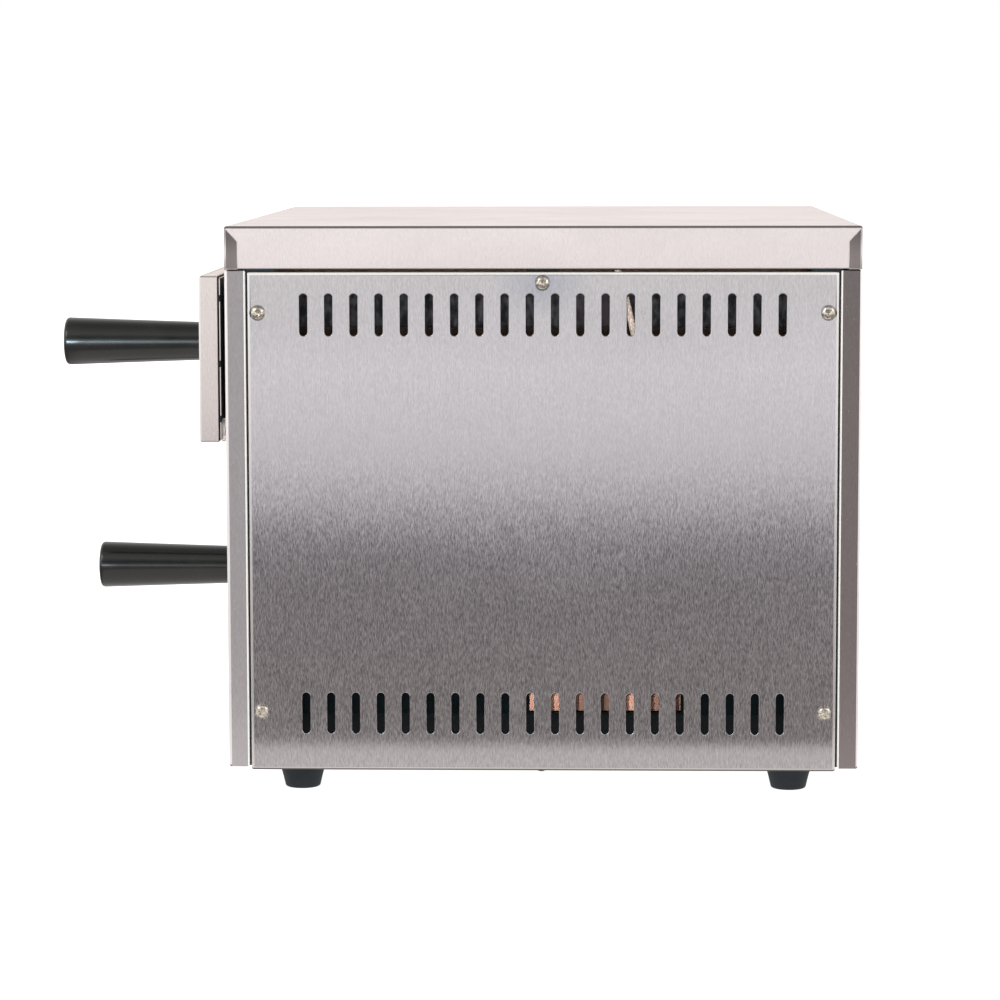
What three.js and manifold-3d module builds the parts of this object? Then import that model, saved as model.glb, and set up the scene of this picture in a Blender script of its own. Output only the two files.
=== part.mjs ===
// Countertop pizza oven: a stone-floored baking chamber behind a drop-down door, over a heated drawer.
// Millimetres, +Z up. The front faces -Y and the right side faces +X.
// The origin is on the bench, under the middle of the whole object, handles and cable gland included.
import * as THREE from "three";
import { mergeVertices } from "three/addons/utils/BufferGeometryUtils.js";
import Module from "manifold-3d";

const wasm = await Module();
wasm.setup();

// ---------------------------------------------------------------- driving dimensions
const BODY_WIDTH = 570; // across the lid
const BODY_DEPTH = 455; // front face to back face
const SHEET = 1.2; // outer casing and trays
const THIN = 1; // panels, liners and door skins
const GAP = 0.3; // between pieces that touch
const FOOT = { height: 21.2, bottom: 12.4, top: 17.6, x: 250, y: 178, back: 1.3 }; // tapered rubber
const CASING_BOTTOM = 20;
const CASING_TOP = 380.4;
const LID_BOTTOM = 381;
const LID_HEIGHT = 30.2;
const LID_CROWN = 1.6;
const LID_TAB = 8.2; // width of the corner tabs on the lid's skirt
const LID_EAR = { half: 12, below: 9, above: 5 }; // the strip under the lid that the top screw reaches

const PANEL = { half: 210.5, bottom: 18, top: 377.5 }; // side panel, half its length along Y
const SLOT = { pitch: 18, count: 20, width: 5.7, length: 30, rows: [59.8, 347.8] };
const SCREW = { head: 5, shank: 2, length: 8, spots: [[-203.5, 349.2], [203.5, 349.2], [0, 370.6]] };
const LOW_SCREWS = [[-203, 60.8], [203, 60.8]];
const POST = 15.1; // width of a corner post seen from the side
const LAND = 36; // how far the strip behind the side panel reaches in
const FLANGE = 13; // the casing's top and bottom flanges, and the base pan's upstand

const HANDLE_LENGTH = 127.5;
const HANDLE_BASE_RADIUS = 14.2;
const HANDLE_END_RADIUS = 18.2;
const GLAND_REACH = 24;

const DOOR = { x: [-121, 273], z: [255.3, 375.3], proud: 19.8, thick: 13.6, handleZ: 316 };
const DOOR_PADS = [272.2, 312, 359.1]; // heights of the pads between the door's pan and its inner skin
const HINGE = { z: 258, ahead: 3.2, pin: 1.5, eye: 2.9, head: 2.4 };
const DRAWER = { half: 261.5, z: [81.5, 180.5], recess: 4, thick: 14, handleZ: 131, handleExtra: 10 };
const DRAWER_PAN = { half: 238, z: [94, 146], depth: 350, lip: 16 };

const UPPER = { x: [-100, 252], z: [268, 362], depth: 419 }; // inside of the baking chamber
const LOWER = { half: 264.2, z: [79, 186], depth: 422 }; // inside of the drawer chamber
const STONE = { inset: 6, y: [30, 400], z: [279.5, 291.5] };
const ELEMENT_RADIUS = 3.2;
const PARTITION_X = -127;
const BAY_FLOOR = 190;

const KNOB_COLUMNS = [-238, -168];
const CONTROL_ROWS = [335, 262];
const LAMP_X = -203;
const SPINDLE_HOLE = 5;
const LAMP_HOLE = 4.2;
const ROCKER = { half: [9, 14], hole: [10.5, 15.5], tilt: 10 };
const GLAND = { x: -215, z: 235, hole: 8.4 };

// ---------------------------------------------------------------- derived places
const HALF = BODY_WIDTH / 2;
const FRONT = (DOOR.proud + HANDLE_LENGTH - BODY_DEPTH - GLAND_REACH) / 2; // the front face's Y
const BACK = FRONT + BODY_DEPTH;
const MIDDLE = (FRONT + BACK) / 2;
const POST_FACE = HALF - 1.4;
const PANEL_FACE = HALF - 0.8;
const LAND_FACE = PANEL_FACE - THIN - GAP;
const BACK_INNER = BACK - SHEET;
const DOOR_MIDDLE = (DOOR.x[0] + DOOR.x[1]) / 2;
const HINGE_Y = FRONT - HINGE.ahead;
const LINER_START = FRONT + SHEET + 0.4;
const WOOL_START = FRONT + 16;

// ---------------------------------------------------------------- solids
function solid(geometry) {
  const loose = geometry.index ? geometry.toNonIndexed() : geometry.clone();
  loose.deleteAttribute("normal");
  loose.deleteAttribute("uv");
  const merged = mergeVertices(loose, 1e-4);
  const vertProperties = merged.attributes.position.array;
  const triVerts = new Uint32Array(merged.index.array);
  return new wasm.Manifold(new wasm.Mesh({ numProp: 3, vertProperties, triVerts }));
}

function box([x0, x1], [y0, y1], [z0, z1]) {
  const geometry = new THREE.BoxGeometry(x1 - x0, y1 - y0, z1 - z0);
  return solid(geometry.translate((x0 + x1) / 2, (y0 + y1) / 2, (z0 + z1) / 2));
}

const X = new THREE.Vector3(1, 0, 0);
const Y = new THREE.Vector3(0, 1, 0);
const Z = new THREE.Vector3(0, 0, 1);

// An outline in (y, z), given thickness from x0 to x1.
function plateX(shape, x0, x1, curveSegments = 2) {
  const geometry = new THREE.ExtrudeGeometry(shape, { depth: x1 - x0, bevelEnabled: false, curveSegments });
  geometry.applyMatrix4(new THREE.Matrix4().makeBasis(Y, Z, X));
  return solid(geometry.translate(x0, 0, 0));
}

// An outline in (x, z), given thickness from y0 to y1.
function plateY(shape, y0, y1, curveSegments = 6) {
  const geometry = new THREE.ExtrudeGeometry(shape, { depth: y1 - y0, bevelEnabled: false, curveSegments });
  geometry.applyMatrix4(new THREE.Matrix4().makeBasis(X, Z, Y.clone().negate()));
  return solid(geometry.translate(0, y1, 0));
}

function rectangle([u0, u1], [v0, v1], Kind = THREE.Shape) {
  const path = new Kind();
  path.moveTo(u0, v0);
  path.lineTo(u1, v0);
  path.lineTo(u1, v1);
  path.lineTo(u0, v1);
  path.closePath();
  return path;
}

// A round hole as a regular outline whose flats touch the circle.
function roundHole(u, v, radius, sides = 12) {
  const corner = radius / Math.cos(Math.PI / sides);
  const spots = Array.from({ length: sides }, (_, i) => {
    const a = (-2 * Math.PI * i) / sides;
    return new THREE.Vector2(u + corner * Math.cos(a), v + corner * Math.sin(a));
  });
  return new THREE.Path(spots);
}

// A slot with round ends, standing up along v.
function slotHole(u, v, width, length) {
  const r = width / 2;
  const reach = length / 2 - r;
  const path = new THREE.Path();
  path.absarc(u, v + reach, r, 0, Math.PI, false);
  path.absarc(u, v - reach, r, Math.PI, 2 * Math.PI, false);
  path.closePath();
  return path;
}

// A turned piece: profile points are [radius, height], and height runs from `base` along `axis`.
function turned(profile, axis, base, segments = 16) {
  const points = profile.map(([r, h]) => new THREE.Vector2(r, h));
  const geometry = new THREE.LatheGeometry(points, segments);
  const turn = new THREE.Quaternion().setFromUnitVectors(Y, axis);
  geometry.applyQuaternion(turn).translate(...base);
  return solid(geometry);
}

function rod(radius, length, axis, base, segments = 16) {
  return turned([[0, 0], [radius, 0], [radius, length], [0, length]], axis, base, segments);
}

// A route through chosen points whose corners are rounded, with a section at each kept point.
class Route extends THREE.Curve {
  constructor(corners, radius, bendSteps = 3) {
    super();
    this.points = [corners[0]];
    for (let i = 1; i < corners.length - 1; i++) {
      const [before, corner, after] = [corners[i - 1], corners[i], corners[i + 1]];
      const reach = Math.min(radius, before.distanceTo(corner) / 2.1, corner.distanceTo(after) / 2.1);
      const enter = before.clone().sub(corner).setLength(reach).add(corner);
      const leave = after.clone().sub(corner).setLength(reach).add(corner);
      const bend = new THREE.QuadraticBezierCurve3(enter, corner, leave);
      this.points.push(...bend.getPoints(bendSteps));
    }
    this.points.push(corners.at(-1));
  }
  get steps() {
    return this.points.length - 1;
  }
  getPointAt(t, target = new THREE.Vector3()) {
    return target.copy(this.points[Math.round(t * this.steps)]);
  }
  getPoint(t, target) {
    return this.getPointAt(t, target);
  }
  getTangentAt(t, target = new THREE.Vector3()) {
    const i = Math.round(t * this.steps);
    const from = this.points[Math.max(i - 1, 0)];
    const to = this.points[Math.min(i + 1, this.steps)];
    return target.subVectors(to, from).normalize();
  }
}

function tube(corners, radius, bendRadius, sides = 7) {
  const route = new Route(corners.map((c) => new THREE.Vector3(...c)), bendRadius);
  const section = new THREE.Shape();
  for (let i = 0; i < sides; i++) {
    const a = (i * 2 * Math.PI) / sides;
    const [u, v] = [radius * Math.cos(a), radius * Math.sin(a)];
    if (i === 0) section.moveTo(u, v);
    else section.lineTo(u, v);
  }
  section.closePath();
  const geometry = new THREE.ExtrudeGeometry(section, {
    steps: route.steps,
    extrudePath: route,
    bevelEnabled: false,
  });
  return solid(geometry);
}

// A tray of sheet: the outer box less the space inside it.
function shell(outer, inner) {
  return box(...outer).subtract(box(...inner));
}

function mirrorX(made, centre = 0) {
  return made.mirror([1, 0, 0]).translate([2 * centre, 0, 0]);
}

// ---------------------------------------------------------------- materials and the group
function paint(color, roughness, metalness) {
  return new THREE.MeshStandardMaterial({ color, roughness, metalness });
}

const brushed = paint(0xc9c5c1, 0.35, 1);
const liner = paint(0x8d8a8a, 0.5, 1);
const screwSteel = paint(0xd8d0c4, 0.25, 1);
const bakelite = paint(0x101113, 0.25, 0);
const rubber = paint(0x17181a, 0.8, 0);
const wool = paint(0xc98f78, 0.95, 0);
const stone = paint(0xcdbfa6, 0.95, 0);
const elementSkin = paint(0x3f3a38, 0.5, 0.8);
const plastic = paint(0x1b1c1f, 0.5, 0);
const ceramic = paint(0xe6e0d2, 0.4, 0);
const lens = paint(0xd8601c, 0.2, 0);
const sleeve = paint(0xd8c4ac, 0.9, 0);

const oven = new THREE.Group();
const door = new THREE.Group();
const drawer = new THREE.Group();
const controls = new THREE.Group();
oven.add(door, drawer, controls);

function add(name, made, material, group = oven) {
  const { vertProperties, triVerts } = made.getMesh();
  const geometry = new THREE.BufferGeometry();
  geometry.setAttribute("position", new THREE.BufferAttribute(vertProperties, 3));
  geometry.setIndex(new THREE.BufferAttribute(triVerts, 1));
  geometry.computeVertexNormals();
  const mesh = new THREE.Mesh(geometry, material);
  mesh.name = name;
  group.add(mesh);
  return mesh;
}

// ---------------------------------------------------------------- casing
// Corner post at x > 0: the visible face, and the strip behind the side panel that the screws reach.
// `face` is the Y of the casing's front or back, and `inward` points to the middle of the oven.
function post(face, inward) {
  const across = (from, to) => [face + inward * from, face + inward * to].sort((a, b) => a - b);
  const heights = [CASING_BOTTOM, CASING_TOP];
  const visible = box([POST_FACE - SHEET, POST_FACE], across(0, POST), heights);
  const strip = box([LAND_FACE - SHEET, LAND_FACE], across(POST - SHEET, LAND), heights);
  const holes = [...SCREW.spots, ...LOW_SCREWS]
    .filter(([y]) => Math.sign(y) === -inward)
    .map(([y, z]) => rod(SCREW.shank + GAP, 8, X, [LAND_FACE - 4, MIDDLE + y, z], 8));
  return holes.reduce((left, hole) => left.subtract(hole), visible.add(strip));
}

function frontFrame() {
  const face = rectangle([-POST_FACE, POST_FACE], [CASING_BOTTOM, CASING_TOP]);
  const drawerHole = [DRAWER.z[0] - 1, DRAWER.z[1] + 1];
  face.holes.push(rectangle(UPPER.x, UPPER.z, THREE.Path));
  face.holes.push(rectangle([-DRAWER.half - 1.5, DRAWER.half + 1.5], drawerHole, THREE.Path));
  face.holes.push(roundHole(KNOB_COLUMNS[0], CONTROL_ROWS[0], SPINDLE_HOLE));
  face.holes.push(roundHole(KNOB_COLUMNS[1], CONTROL_ROWS[0], SPINDLE_HOLE));
  face.holes.push(roundHole(KNOB_COLUMNS[0], CONTROL_ROWS[1], SPINDLE_HOLE));
  for (const z of CONTROL_ROWS) face.holes.push(roundHole(LAMP_X, z, LAMP_HOLE));
  const [holeX, holeZ] = ROCKER.hole;
  const rockerX = [KNOB_COLUMNS[1] - holeX, KNOB_COLUMNS[1] + holeX];
  const rockerZ = [CONTROL_ROWS[1] - holeZ, CONTROL_ROWS[1] + holeZ];
  face.holes.push(rectangle(rockerX, rockerZ, THREE.Path));
  const plate = plateY(face, FRONT, FRONT + SHEET, 4);
  const right = post(FRONT, 1);
  const width = [-POST_FACE + SHEET, POST_FACE - SHEET];
  const sill = box(width, [FRONT, FRONT + FLANGE], [CASING_BOTTOM, CASING_BOTTOM + SHEET]);
  const head = box(width, [FRONT, FRONT + FLANGE], [CASING_TOP - SHEET, CASING_TOP]);
  return plate.add(right).add(mirrorX(right)).add(sill).add(head);
}

function rearPanel() {
  const face = rectangle([-POST_FACE, POST_FACE], [CASING_BOTTOM, CASING_TOP]);
  face.holes.push(roundHole(GLAND.x, GLAND.z, GLAND.hole));
  const vents = 6;
  for (let i = 0; i < vents; i++) {
    face.holes.push(slotHole(GLAND.x - 45 + i * SLOT.pitch, SLOT.rows[1] - 20, SLOT.width, SLOT.length));
  }
  const right = post(BACK, -1);
  const width = [-POST_FACE + SHEET, POST_FACE - SHEET];
  const sill = box(width, [BACK - FLANGE, BACK], [CASING_BOTTOM, CASING_BOTTOM + SHEET]);
  const head = box(width, [BACK - FLANGE, BACK], [CASING_TOP - SHEET, CASING_TOP]);
  return plateY(face, BACK_INNER, BACK, 4).add(right).add(mirrorX(right)).add(sill).add(head);
}

function basePan() {
  const side = LAND_FACE - SHEET - 0.4;
  const depth = [FRONT + SHEET + GAP, BACK_INNER - GAP];
  const floor = CASING_BOTTOM + SHEET + GAP;
  const inside = [[-side + SHEET, side - SHEET], [depth[0] - 1, depth[1] + 1], [floor + SHEET, floor + 20]];
  return shell([[-side, side], depth, [floor, floor + FLANGE]], inside);
}

// The lid's top is crowned a little, its skirt hangs on all sides, and at each corner the front or back
// skirt wraps on to the side as a narrow tab, mitred at the top.
function topCover() {
  const side = HALF - 0.7;
  const top = LID_BOTTOM + LID_HEIGHT;
  const outer = new THREE.BoxGeometry(2 * side, BODY_DEPTH, LID_HEIGHT, 10, 8, 1);
  outer.translate(0, MIDDLE, LID_BOTTOM + LID_HEIGHT / 2);
  const spots = outer.attributes.position;
  for (let i = 0; i < spots.count; i++) {
    const u = spots.getX(i) / side;
    const v = (spots.getY(i) - MIDDLE) / (BODY_DEPTH / 2);
    if (spots.getZ(i) > top - 1) spots.setZ(i, top + LID_CROWN * (1 - u * u) * (1 - v * v));
  }
  const room = [[-side + SHEET, side - SHEET], [FRONT + SHEET, BACK - SHEET], [LID_BOTTOM - 1, top - SHEET]];
  let made = solid(outer).subtract(box(...room));
  for (const [corner, inward] of [[FRONT, 1], [BACK, -1]]) {
    const tab = new THREE.Shape();
    tab.moveTo(corner, LID_BOTTOM);
    tab.lineTo(corner + inward * LID_TAB, LID_BOTTOM);
    tab.lineTo(corner + inward * LID_TAB, top - LID_TAB - 0.5);
    tab.lineTo(corner, top);
    tab.closePath();
    const right = plateX(tab, side - 0.2, HALF);
    made = made.add(right).add(mirrorX(right));
  }
  const [y, z] = SCREW.spots[2];
  const length = [MIDDLE + y - LID_EAR.half, MIDDLE + y + LID_EAR.half];
  const earTop = LID_BOTTOM + LID_EAR.above;
  const ear = box([LAND_FACE - SHEET, LAND_FACE], length, [z - LID_EAR.below, earTop])
    .add(box([LAND_FACE - SHEET, side], length, [LID_BOTTOM + 1, earTop]))
    .subtract(rod(SCREW.shank + GAP, 8, X, [LAND_FACE - 4, MIDDLE + y, z], 8));
  return made.add(ear).add(mirrorX(ear));
}

function sidePanel() {
  const face = rectangle([MIDDLE - PANEL.half, MIDDLE + PANEL.half], [PANEL.bottom, PANEL.top]);
  for (const z of SLOT.rows) {
    for (let i = 0; i < SLOT.count; i++) {
      const y = MIDDLE + (i - (SLOT.count - 1) / 2) * SLOT.pitch;
      face.holes.push(slotHole(y, z, SLOT.width, SLOT.length));
    }
  }
  for (const [y, z] of [...SCREW.spots, ...LOW_SCREWS]) {
    face.holes.push(roundHole(MIDDLE + y, z, SCREW.shank + GAP, 8));
  }
  return plateX(face, PANEL_FACE - THIN, PANEL_FACE);
}

function sideScrew([y, z]) {
  const profile = [
    [0, -SCREW.length],
    [SCREW.shank, -SCREW.length],
    [SCREW.shank, 0],
    [SCREW.head, 0],
    [SCREW.head * 0.94, 1.1],
    [SCREW.head * 0.62, 2.1],
    [0, 2.5],
  ];
  return turned(profile, X, [PANEL_FACE + GAP, MIDDLE + y, z], 10);
}

function foot(x, y) {
  const { bottom, top } = FOOT;
  const profile = [
    [0, 0],
    [bottom, 0],
    [bottom + 0.6, 0.8],
    [top - 0.2, FOOT.height - 2],
    [top, FOOT.height],
    [0, FOOT.height],
  ];
  return turned(profile, Z, [x, y, 0], 16);
}

add("front_frame", frontFrame(), brushed);
add("rear_panel", rearPanel(), brushed);
add("base_pan", basePan(), liner);
add("top_cover", topCover(), brushed);
add("side_panel_right", sidePanel(), brushed);
add("side_panel_left", mirrorX(sidePanel()), brushed);
[...SCREW.spots, ...LOW_SCREWS].forEach((spot, i) => {
  add(`side_screw_right_${i + 1}`, sideScrew(spot), screwSteel);
  add(`side_screw_left_${i + 1}`, mirrorX(sideScrew(spot)), screwSteel);
});
for (const [end, sy] of [["front", -1], ["rear", 1]]) {
  for (const [side, sx] of [["right", 1], ["left", -1]]) {
    add(`foot_${end}_${side}`, foot(sx * FOOT.x, MIDDLE + FOOT.back + sy * FOOT.y), rubber);
  }
}

// ---------------------------------------------------------------- baking chamber
// The hole in a liner's wall that one end of an element leaves by.
function elementHole(axis, base) {
  return rod(ELEMENT_RADIUS + 1, 20, axis, base, 10);
}

function upperLiner() {
  const [x0, x1] = UPPER.x;
  const [z0, z1] = UPPER.z;
  const y0 = LINER_START;
  const y1 = y0 + UPPER.depth;
  const walls = shell(
    [[x0 - THIN, x1 + THIN], [y0, y1 + THIN], [z0 - THIN, z1 + THIN]],
    [[x0, x1], [y0 - 1, y1], [z0, z1]],
  );
  const ledge = [STONE.z[0] - GAP - SHEET, STONE.z[0] - GAP];
  const right = box([x1 - 12, x1 + THIN / 2], [y0 + 10, y1], ledge);
  const holes = [
    ...topElementEnds().map(([x, z]) => elementHole(Y, [x, y1 - 10, z])),
    ...floorElementEnds().map(([y, z]) => elementHole(X, [x1 - 10, y, z])),
  ];
  const whole = walls.add(right).add(mirrorX(right, DOOR_MIDDLE));
  return holes.reduce((left, hole) => left.subtract(hole), whole);
}

// Where the roof element leaves the back wall, as [x, z].
function topElementEnds() {
  return [-25, 25].map((dx) => [DOOR_MIDDLE + dx, UPPER.z[1] - 10]);
}

// Where the floor element leaves the right wall, as [y, z].
function floorElementEnds() {
  return [79.5, 121].map((dy) => [MIDDLE + dy, UPPER.z[0] + 5]);
}

function topElement() {
  const [[xa, z], [xb]] = topElementEnds();
  const near = FRONT + 45;
  const far = FRONT + 375;
  const out = LINER_START + UPPER.depth + 13;
  const reach = [55, 140];
  const corners = [
    [xa, out, z],
    [xa, near + 60, z],
    [DOOR_MIDDLE - reach[0] - 30, near + 60, z],
    [DOOR_MIDDLE - reach[0] - 30, far, z],
    [DOOR_MIDDLE - reach[1], far, z],
    [DOOR_MIDDLE - reach[1], near, z],
    [DOOR_MIDDLE + reach[1], near, z],
    [DOOR_MIDDLE + reach[1], far, z],
    [DOOR_MIDDLE + reach[0] + 30, far, z],
    [DOOR_MIDDLE + reach[0] + 30, near + 60, z],
    [xb, near + 60, z],
    [xb, out, z],
  ];
  return tube(corners, ELEMENT_RADIUS, 26);
}

function floorElement() {
  const [[ya, z], [yb]] = floorElementEnds();
  const out = UPPER.x[1] + 13;
  const left = UPPER.x[0] + 26;
  const right = UPPER.x[1] - 45;
  const corners = [
    [out, ya, z],
    [left + 60, ya, z],
    [left + 60, FRONT + 120, z],
    [right, FRONT + 120, z],
    [right, FRONT + 55, z],
    [left, FRONT + 55, z],
    [left, FRONT + 395, z],
    [right, FRONT + 395, z],
    [right, yb, z],
    [out, yb, z],
  ];
  return tube(corners, ELEMENT_RADIUS, 26);
}

function bakingStone() {
  const x = [UPPER.x[0] + STONE.inset, UPPER.x[1] - STONE.inset];
  return box(x, STONE.y.map((y) => FRONT + y), STONE.z);
}

// Wool wrapped round the sides and back of the chamber, open at the front, cut away at the element's ends.
function sideInsulation() {
  const wrap = 12.7;
  const [x0, x1] = [UPPER.x[0] - THIN - GAP, UPPER.x[1] + THIN + GAP];
  const y0 = WOOL_START;
  const y1 = LINER_START + UPPER.depth + THIN + GAP;
  const z = [UPPER.z[0] - 6, 338];
  const whole = shell(
    [[x0 - wrap, x1 + wrap], [y0, y1 + wrap], z],
    [[x0, x1], [y0 - 1, y1], [z[0] - 1, z[1] + 1]],
  );
  const [[ya, ze], [yb]] = floorElementEnds();
  return whole.subtract(box([x1 - 1, x1 + wrap + 1], [ya - 12, yb + 12], [ze - 20, ze + 12]));
}

function topInsulation() {
  return box(UPPER.x, [WOOL_START, FRONT + 420], [UPPER.z[1] + THIN + GAP, UPPER.z[1] + 23]);
}

function deckInsulation() {
  const z0 = LOWER.z[1] + THIN + 0.4;
  return box([PARTITION_X + 0.5, LOWER.half - 2], [WOOL_START, FRONT + 425], [z0, z0 + 24]);
}

// One bent sheet: the wall between the chamber and the control bay, and the bay's floor.
function bayPartition() {
  const depth = [FRONT + SHEET + GAP, BACK_INNER - GAP];
  const wall = box([PARTITION_X - SHEET, PARTITION_X], depth, [BAY_FLOOR, CASING_TOP - SHEET - 1]);
  return wall.add(box([-LAND_FACE + SHEET + 0.7, PARTITION_X], depth, [BAY_FLOOR, BAY_FLOOR + SHEET]));
}

add("upper_chamber_liner", upperLiner(), liner);
add("baking_stone", bakingStone(), stone);
add("upper_roof_element", topElement(), elementSkin);
add("upper_floor_element", floorElement(), elementSkin);
add("chamber_side_insulation", sideInsulation(), wool);
add("chamber_top_insulation", topInsulation(), wool);
add("deck_insulation", deckInsulation(), wool);
add("bay_partition", bayPartition(), liner);

// ---------------------------------------------------------------- drawer chamber
const DRAWER_ELEMENT_Z = LOWER.z[0] + 7;
const DRAWER_ELEMENT_X = [-20, 20];

function lowerLiner() {
  const y0 = LINER_START;
  const y1 = y0 + LOWER.depth;
  const walls = shell(
    [[-LOWER.half - THIN, LOWER.half + THIN], [y0, y1 + THIN], [LOWER.z[0] - THIN, LOWER.z[1] + THIN]],
    [[-LOWER.half, LOWER.half], [y0 - 1, y1], LOWER.z],
  );
  const holes = DRAWER_ELEMENT_X.map((x) => elementHole(Y, [x, y1 - 10, DRAWER_ELEMENT_Z]));
  return holes.reduce((left, hole) => left.subtract(hole), walls);
}

function drawerElement() {
  const out = LINER_START + LOWER.depth + 10;
  const [near, far, wide, inner] = [FRONT + 60, FRONT + 370, 215, 110];
  const right = [
    [DRAWER_ELEMENT_X[1], out, DRAWER_ELEMENT_Z],
    [DRAWER_ELEMENT_X[1], near + 70, DRAWER_ELEMENT_Z],
    [inner, near + 70, DRAWER_ELEMENT_Z],
    [inner, far, DRAWER_ELEMENT_Z],
    [wide, far, DRAWER_ELEMENT_Z],
    [wide, near, DRAWER_ELEMENT_Z],
  ];
  const left = right.map(([x, y, z]) => [-x, y, z]).reverse();
  return tube([...right, ...left], ELEMENT_RADIUS, 28);
}

// A channel on the liner's wall: the drawer's lip slides between its two legs.
function drawerRail() {
  const wall = LOWER.half - GAP;
  const y = [FRONT + 24, LINER_START + LOWER.depth - 2];
  const lipZ = DRAWER_PAN.z[1] - SHEET;
  const leg = 16;
  const [low, high] = [lipZ - 3.3, lipZ + 3.3];
  const under = box([wall - leg, wall], y, [low, low + SHEET]);
  const over = box([wall - leg, wall], y, [high, high + SHEET]);
  const web = box([wall - SHEET, wall], y, [low, high + SHEET]);
  return under.add(over).add(web);
}

// The tray under the drawer chamber. Its right side is notched, so the wool shows there.
const TRAY_Z = 56;
const NOTCH = [-10, 100];
function insulationTray() {
  const side = LOWER.half - 0.8;
  const depth = [LINER_START, BACK_INNER - 0.4];
  const tray = shell(
    [[-side, side], depth, [TRAY_Z, LOWER.z[0] - THIN - 1]],
    [[-side + SHEET, side - SHEET], [depth[0] - 1, depth[1] + 1], [TRAY_Z + SHEET, LOWER.z[0]]],
  );
  return tray.subtract(box([side - 3, side + 1], NOTCH.map((y) => MIDDLE + y), [TRAY_Z + SHEET, LOWER.z[0]]));
}

function lowerInsulation() {
  const side = LOWER.half - 0.8 - SHEET - GAP;
  return box([-side, side], [FRONT + 10, FRONT + 425], [TRAY_Z + SHEET + GAP, LOWER.z[0] - THIN - GAP]);
}

add("drawer_chamber_liner", lowerLiner(), liner);
add("drawer_element", drawerElement(), elementSkin);
add("drawer_rail_right", drawerRail(), liner);
add("drawer_rail_left", mirrorX(drawerRail()), liner);
add("insulation_tray", insulationTray(), liner);
add("lower_insulation", lowerInsulation(), wool);

// ---------------------------------------------------------------- handles
// A moulded handle that grows towards its free end and is domed there. It points to -Y.
function handle(x, faceY, z, extra = 0) {
  const length = HANDLE_LENGTH + extra - GAP;
  const domeStart = length - 4;
  const profile = [
    [0, 0],
    [HANDLE_BASE_RADIUS, 0],
    [HANDLE_BASE_RADIUS + 1.2, length * 0.33],
    [HANDLE_BASE_RADIUS + 2.6, length * 0.7],
    [HANDLE_END_RADIUS, domeStart],
    [HANDLE_END_RADIUS - 0.9, length - 1.2],
    [HANDLE_END_RADIUS - 4, length - 0.4],
    [0, length],
  ];
  return turned(profile, Y.clone().negate(), [x, faceY - GAP, z], 20);
}

// ---------------------------------------------------------------- door
function hingeSpots() {
  return [["right", 1], ["left", -1]];
}

const EAR_X = [261, 262.2];
const BRACKET_X = [264, 266];
const NOTCH_X = [EAR_X[1] + 0.6, 272];

function onHingeSide(made, sign) {
  return sign > 0 ? made : mirrorX(made, DOOR_MIDDLE);
}

function doorPan() {
  const y = [FRONT - DOOR.proud, FRONT - DOOR.proud + DOOR.thick];
  const inner = (range) => [range[0] + THIN, range[1] - THIN];
  return shell([DOOR.x, y, DOOR.z], [inner(DOOR.x), [y[0] + THIN, y[1] + 1], inner(DOOR.z)]);
}

function doorInsulation() {
  const y = [FRONT - DOOR.proud + THIN + GAP, FRONT - DOOR.proud + DOOR.thick - 0.3];
  return box([DOOR.x[0] + 1.4, DOOR.x[1] - 1.4], y, [DOOR.z[0] + 1.4, DOOR.z[1] - 1.4]);
}

// The inner skin stands a little behind the pan on small pads, and its bottom corners carry the hinge eyes.
function doorInnerPlate() {
  const y = [FRONT - 5.2, FRONT - 4.2];
  let made = box([DOOR.x[0] + 1.5, DOOR.x[1] - 1.5], y, [DOOR.z[0] + 2, DOOR.z[1] - 1.5]);
  for (const [, sign] of hingeSpots()) {
    const eye = rod(HINGE.eye, EAR_X[1] - EAR_X[0], X, [EAR_X[0], HINGE_Y, HINGE.z], 16);
    const web = box(EAR_X, [y[0], HINGE_Y], [HINGE.z, HINGE.z + 9]);
    const hole = rod(HINGE.pin + GAP, 4, X, [EAR_X[0] - 1, HINGE_Y, HINGE.z], 16);
    const notch = box(NOTCH_X, [y[0] - 1, y[1] + 1], [DOOR.z[0], HINGE.z + 9]);
    made = made.subtract(onHingeSide(notch, sign));
    made = made.add(onHingeSide(eye.add(web), sign));
    made = made.subtract(onHingeSide(hole, sign));
    for (const z of DOOR_PADS) {
      const pad = box([DOOR.x[1] - 4.5, DOOR.x[1] - 1.5], [FRONT - 6.1, y[0] + 0.5], [z - 2.5, z + 2.5]);
      made = made.add(onHingeSide(pad, sign));
    }
  }
  return made;
}

// A tab on the front face that holds the hinge pin.
function hingeBracket(sign) {
  const base = box([258, 270], [FRONT - 1.8, FRONT - GAP], [HINGE.z + 3.4, HINGE.z + 15]);
  const tab = box(BRACKET_X, [HINGE_Y, FRONT - GAP], [HINGE.z - 2.4, HINGE.z + 5]);
  const eye = rod(HINGE.eye, BRACKET_X[1] - BRACKET_X[0], X, [BRACKET_X[0], HINGE_Y, HINGE.z], 16);
  const hole = rod(HINGE.pin + 0.1, 4, X, [BRACKET_X[0] - 1, HINGE_Y, HINGE.z], 16);
  return onHingeSide(base.add(tab).add(eye).subtract(hole), sign);
}

function hingePin(sign) {
  const length = BRACKET_X[1] + GAP - EAR_X[0] + 0.8;
  const profile = [
    [0, 0],
    [HINGE.pin, 0],
    [HINGE.pin, length],
    [HINGE.head, length],
    [HINGE.head, length + 1],
    [0, length + 1],
  ];
  return onHingeSide(turned(profile, X, [EAR_X[0] - 0.8, HINGE_Y, HINGE.z], 16), sign);
}

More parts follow.
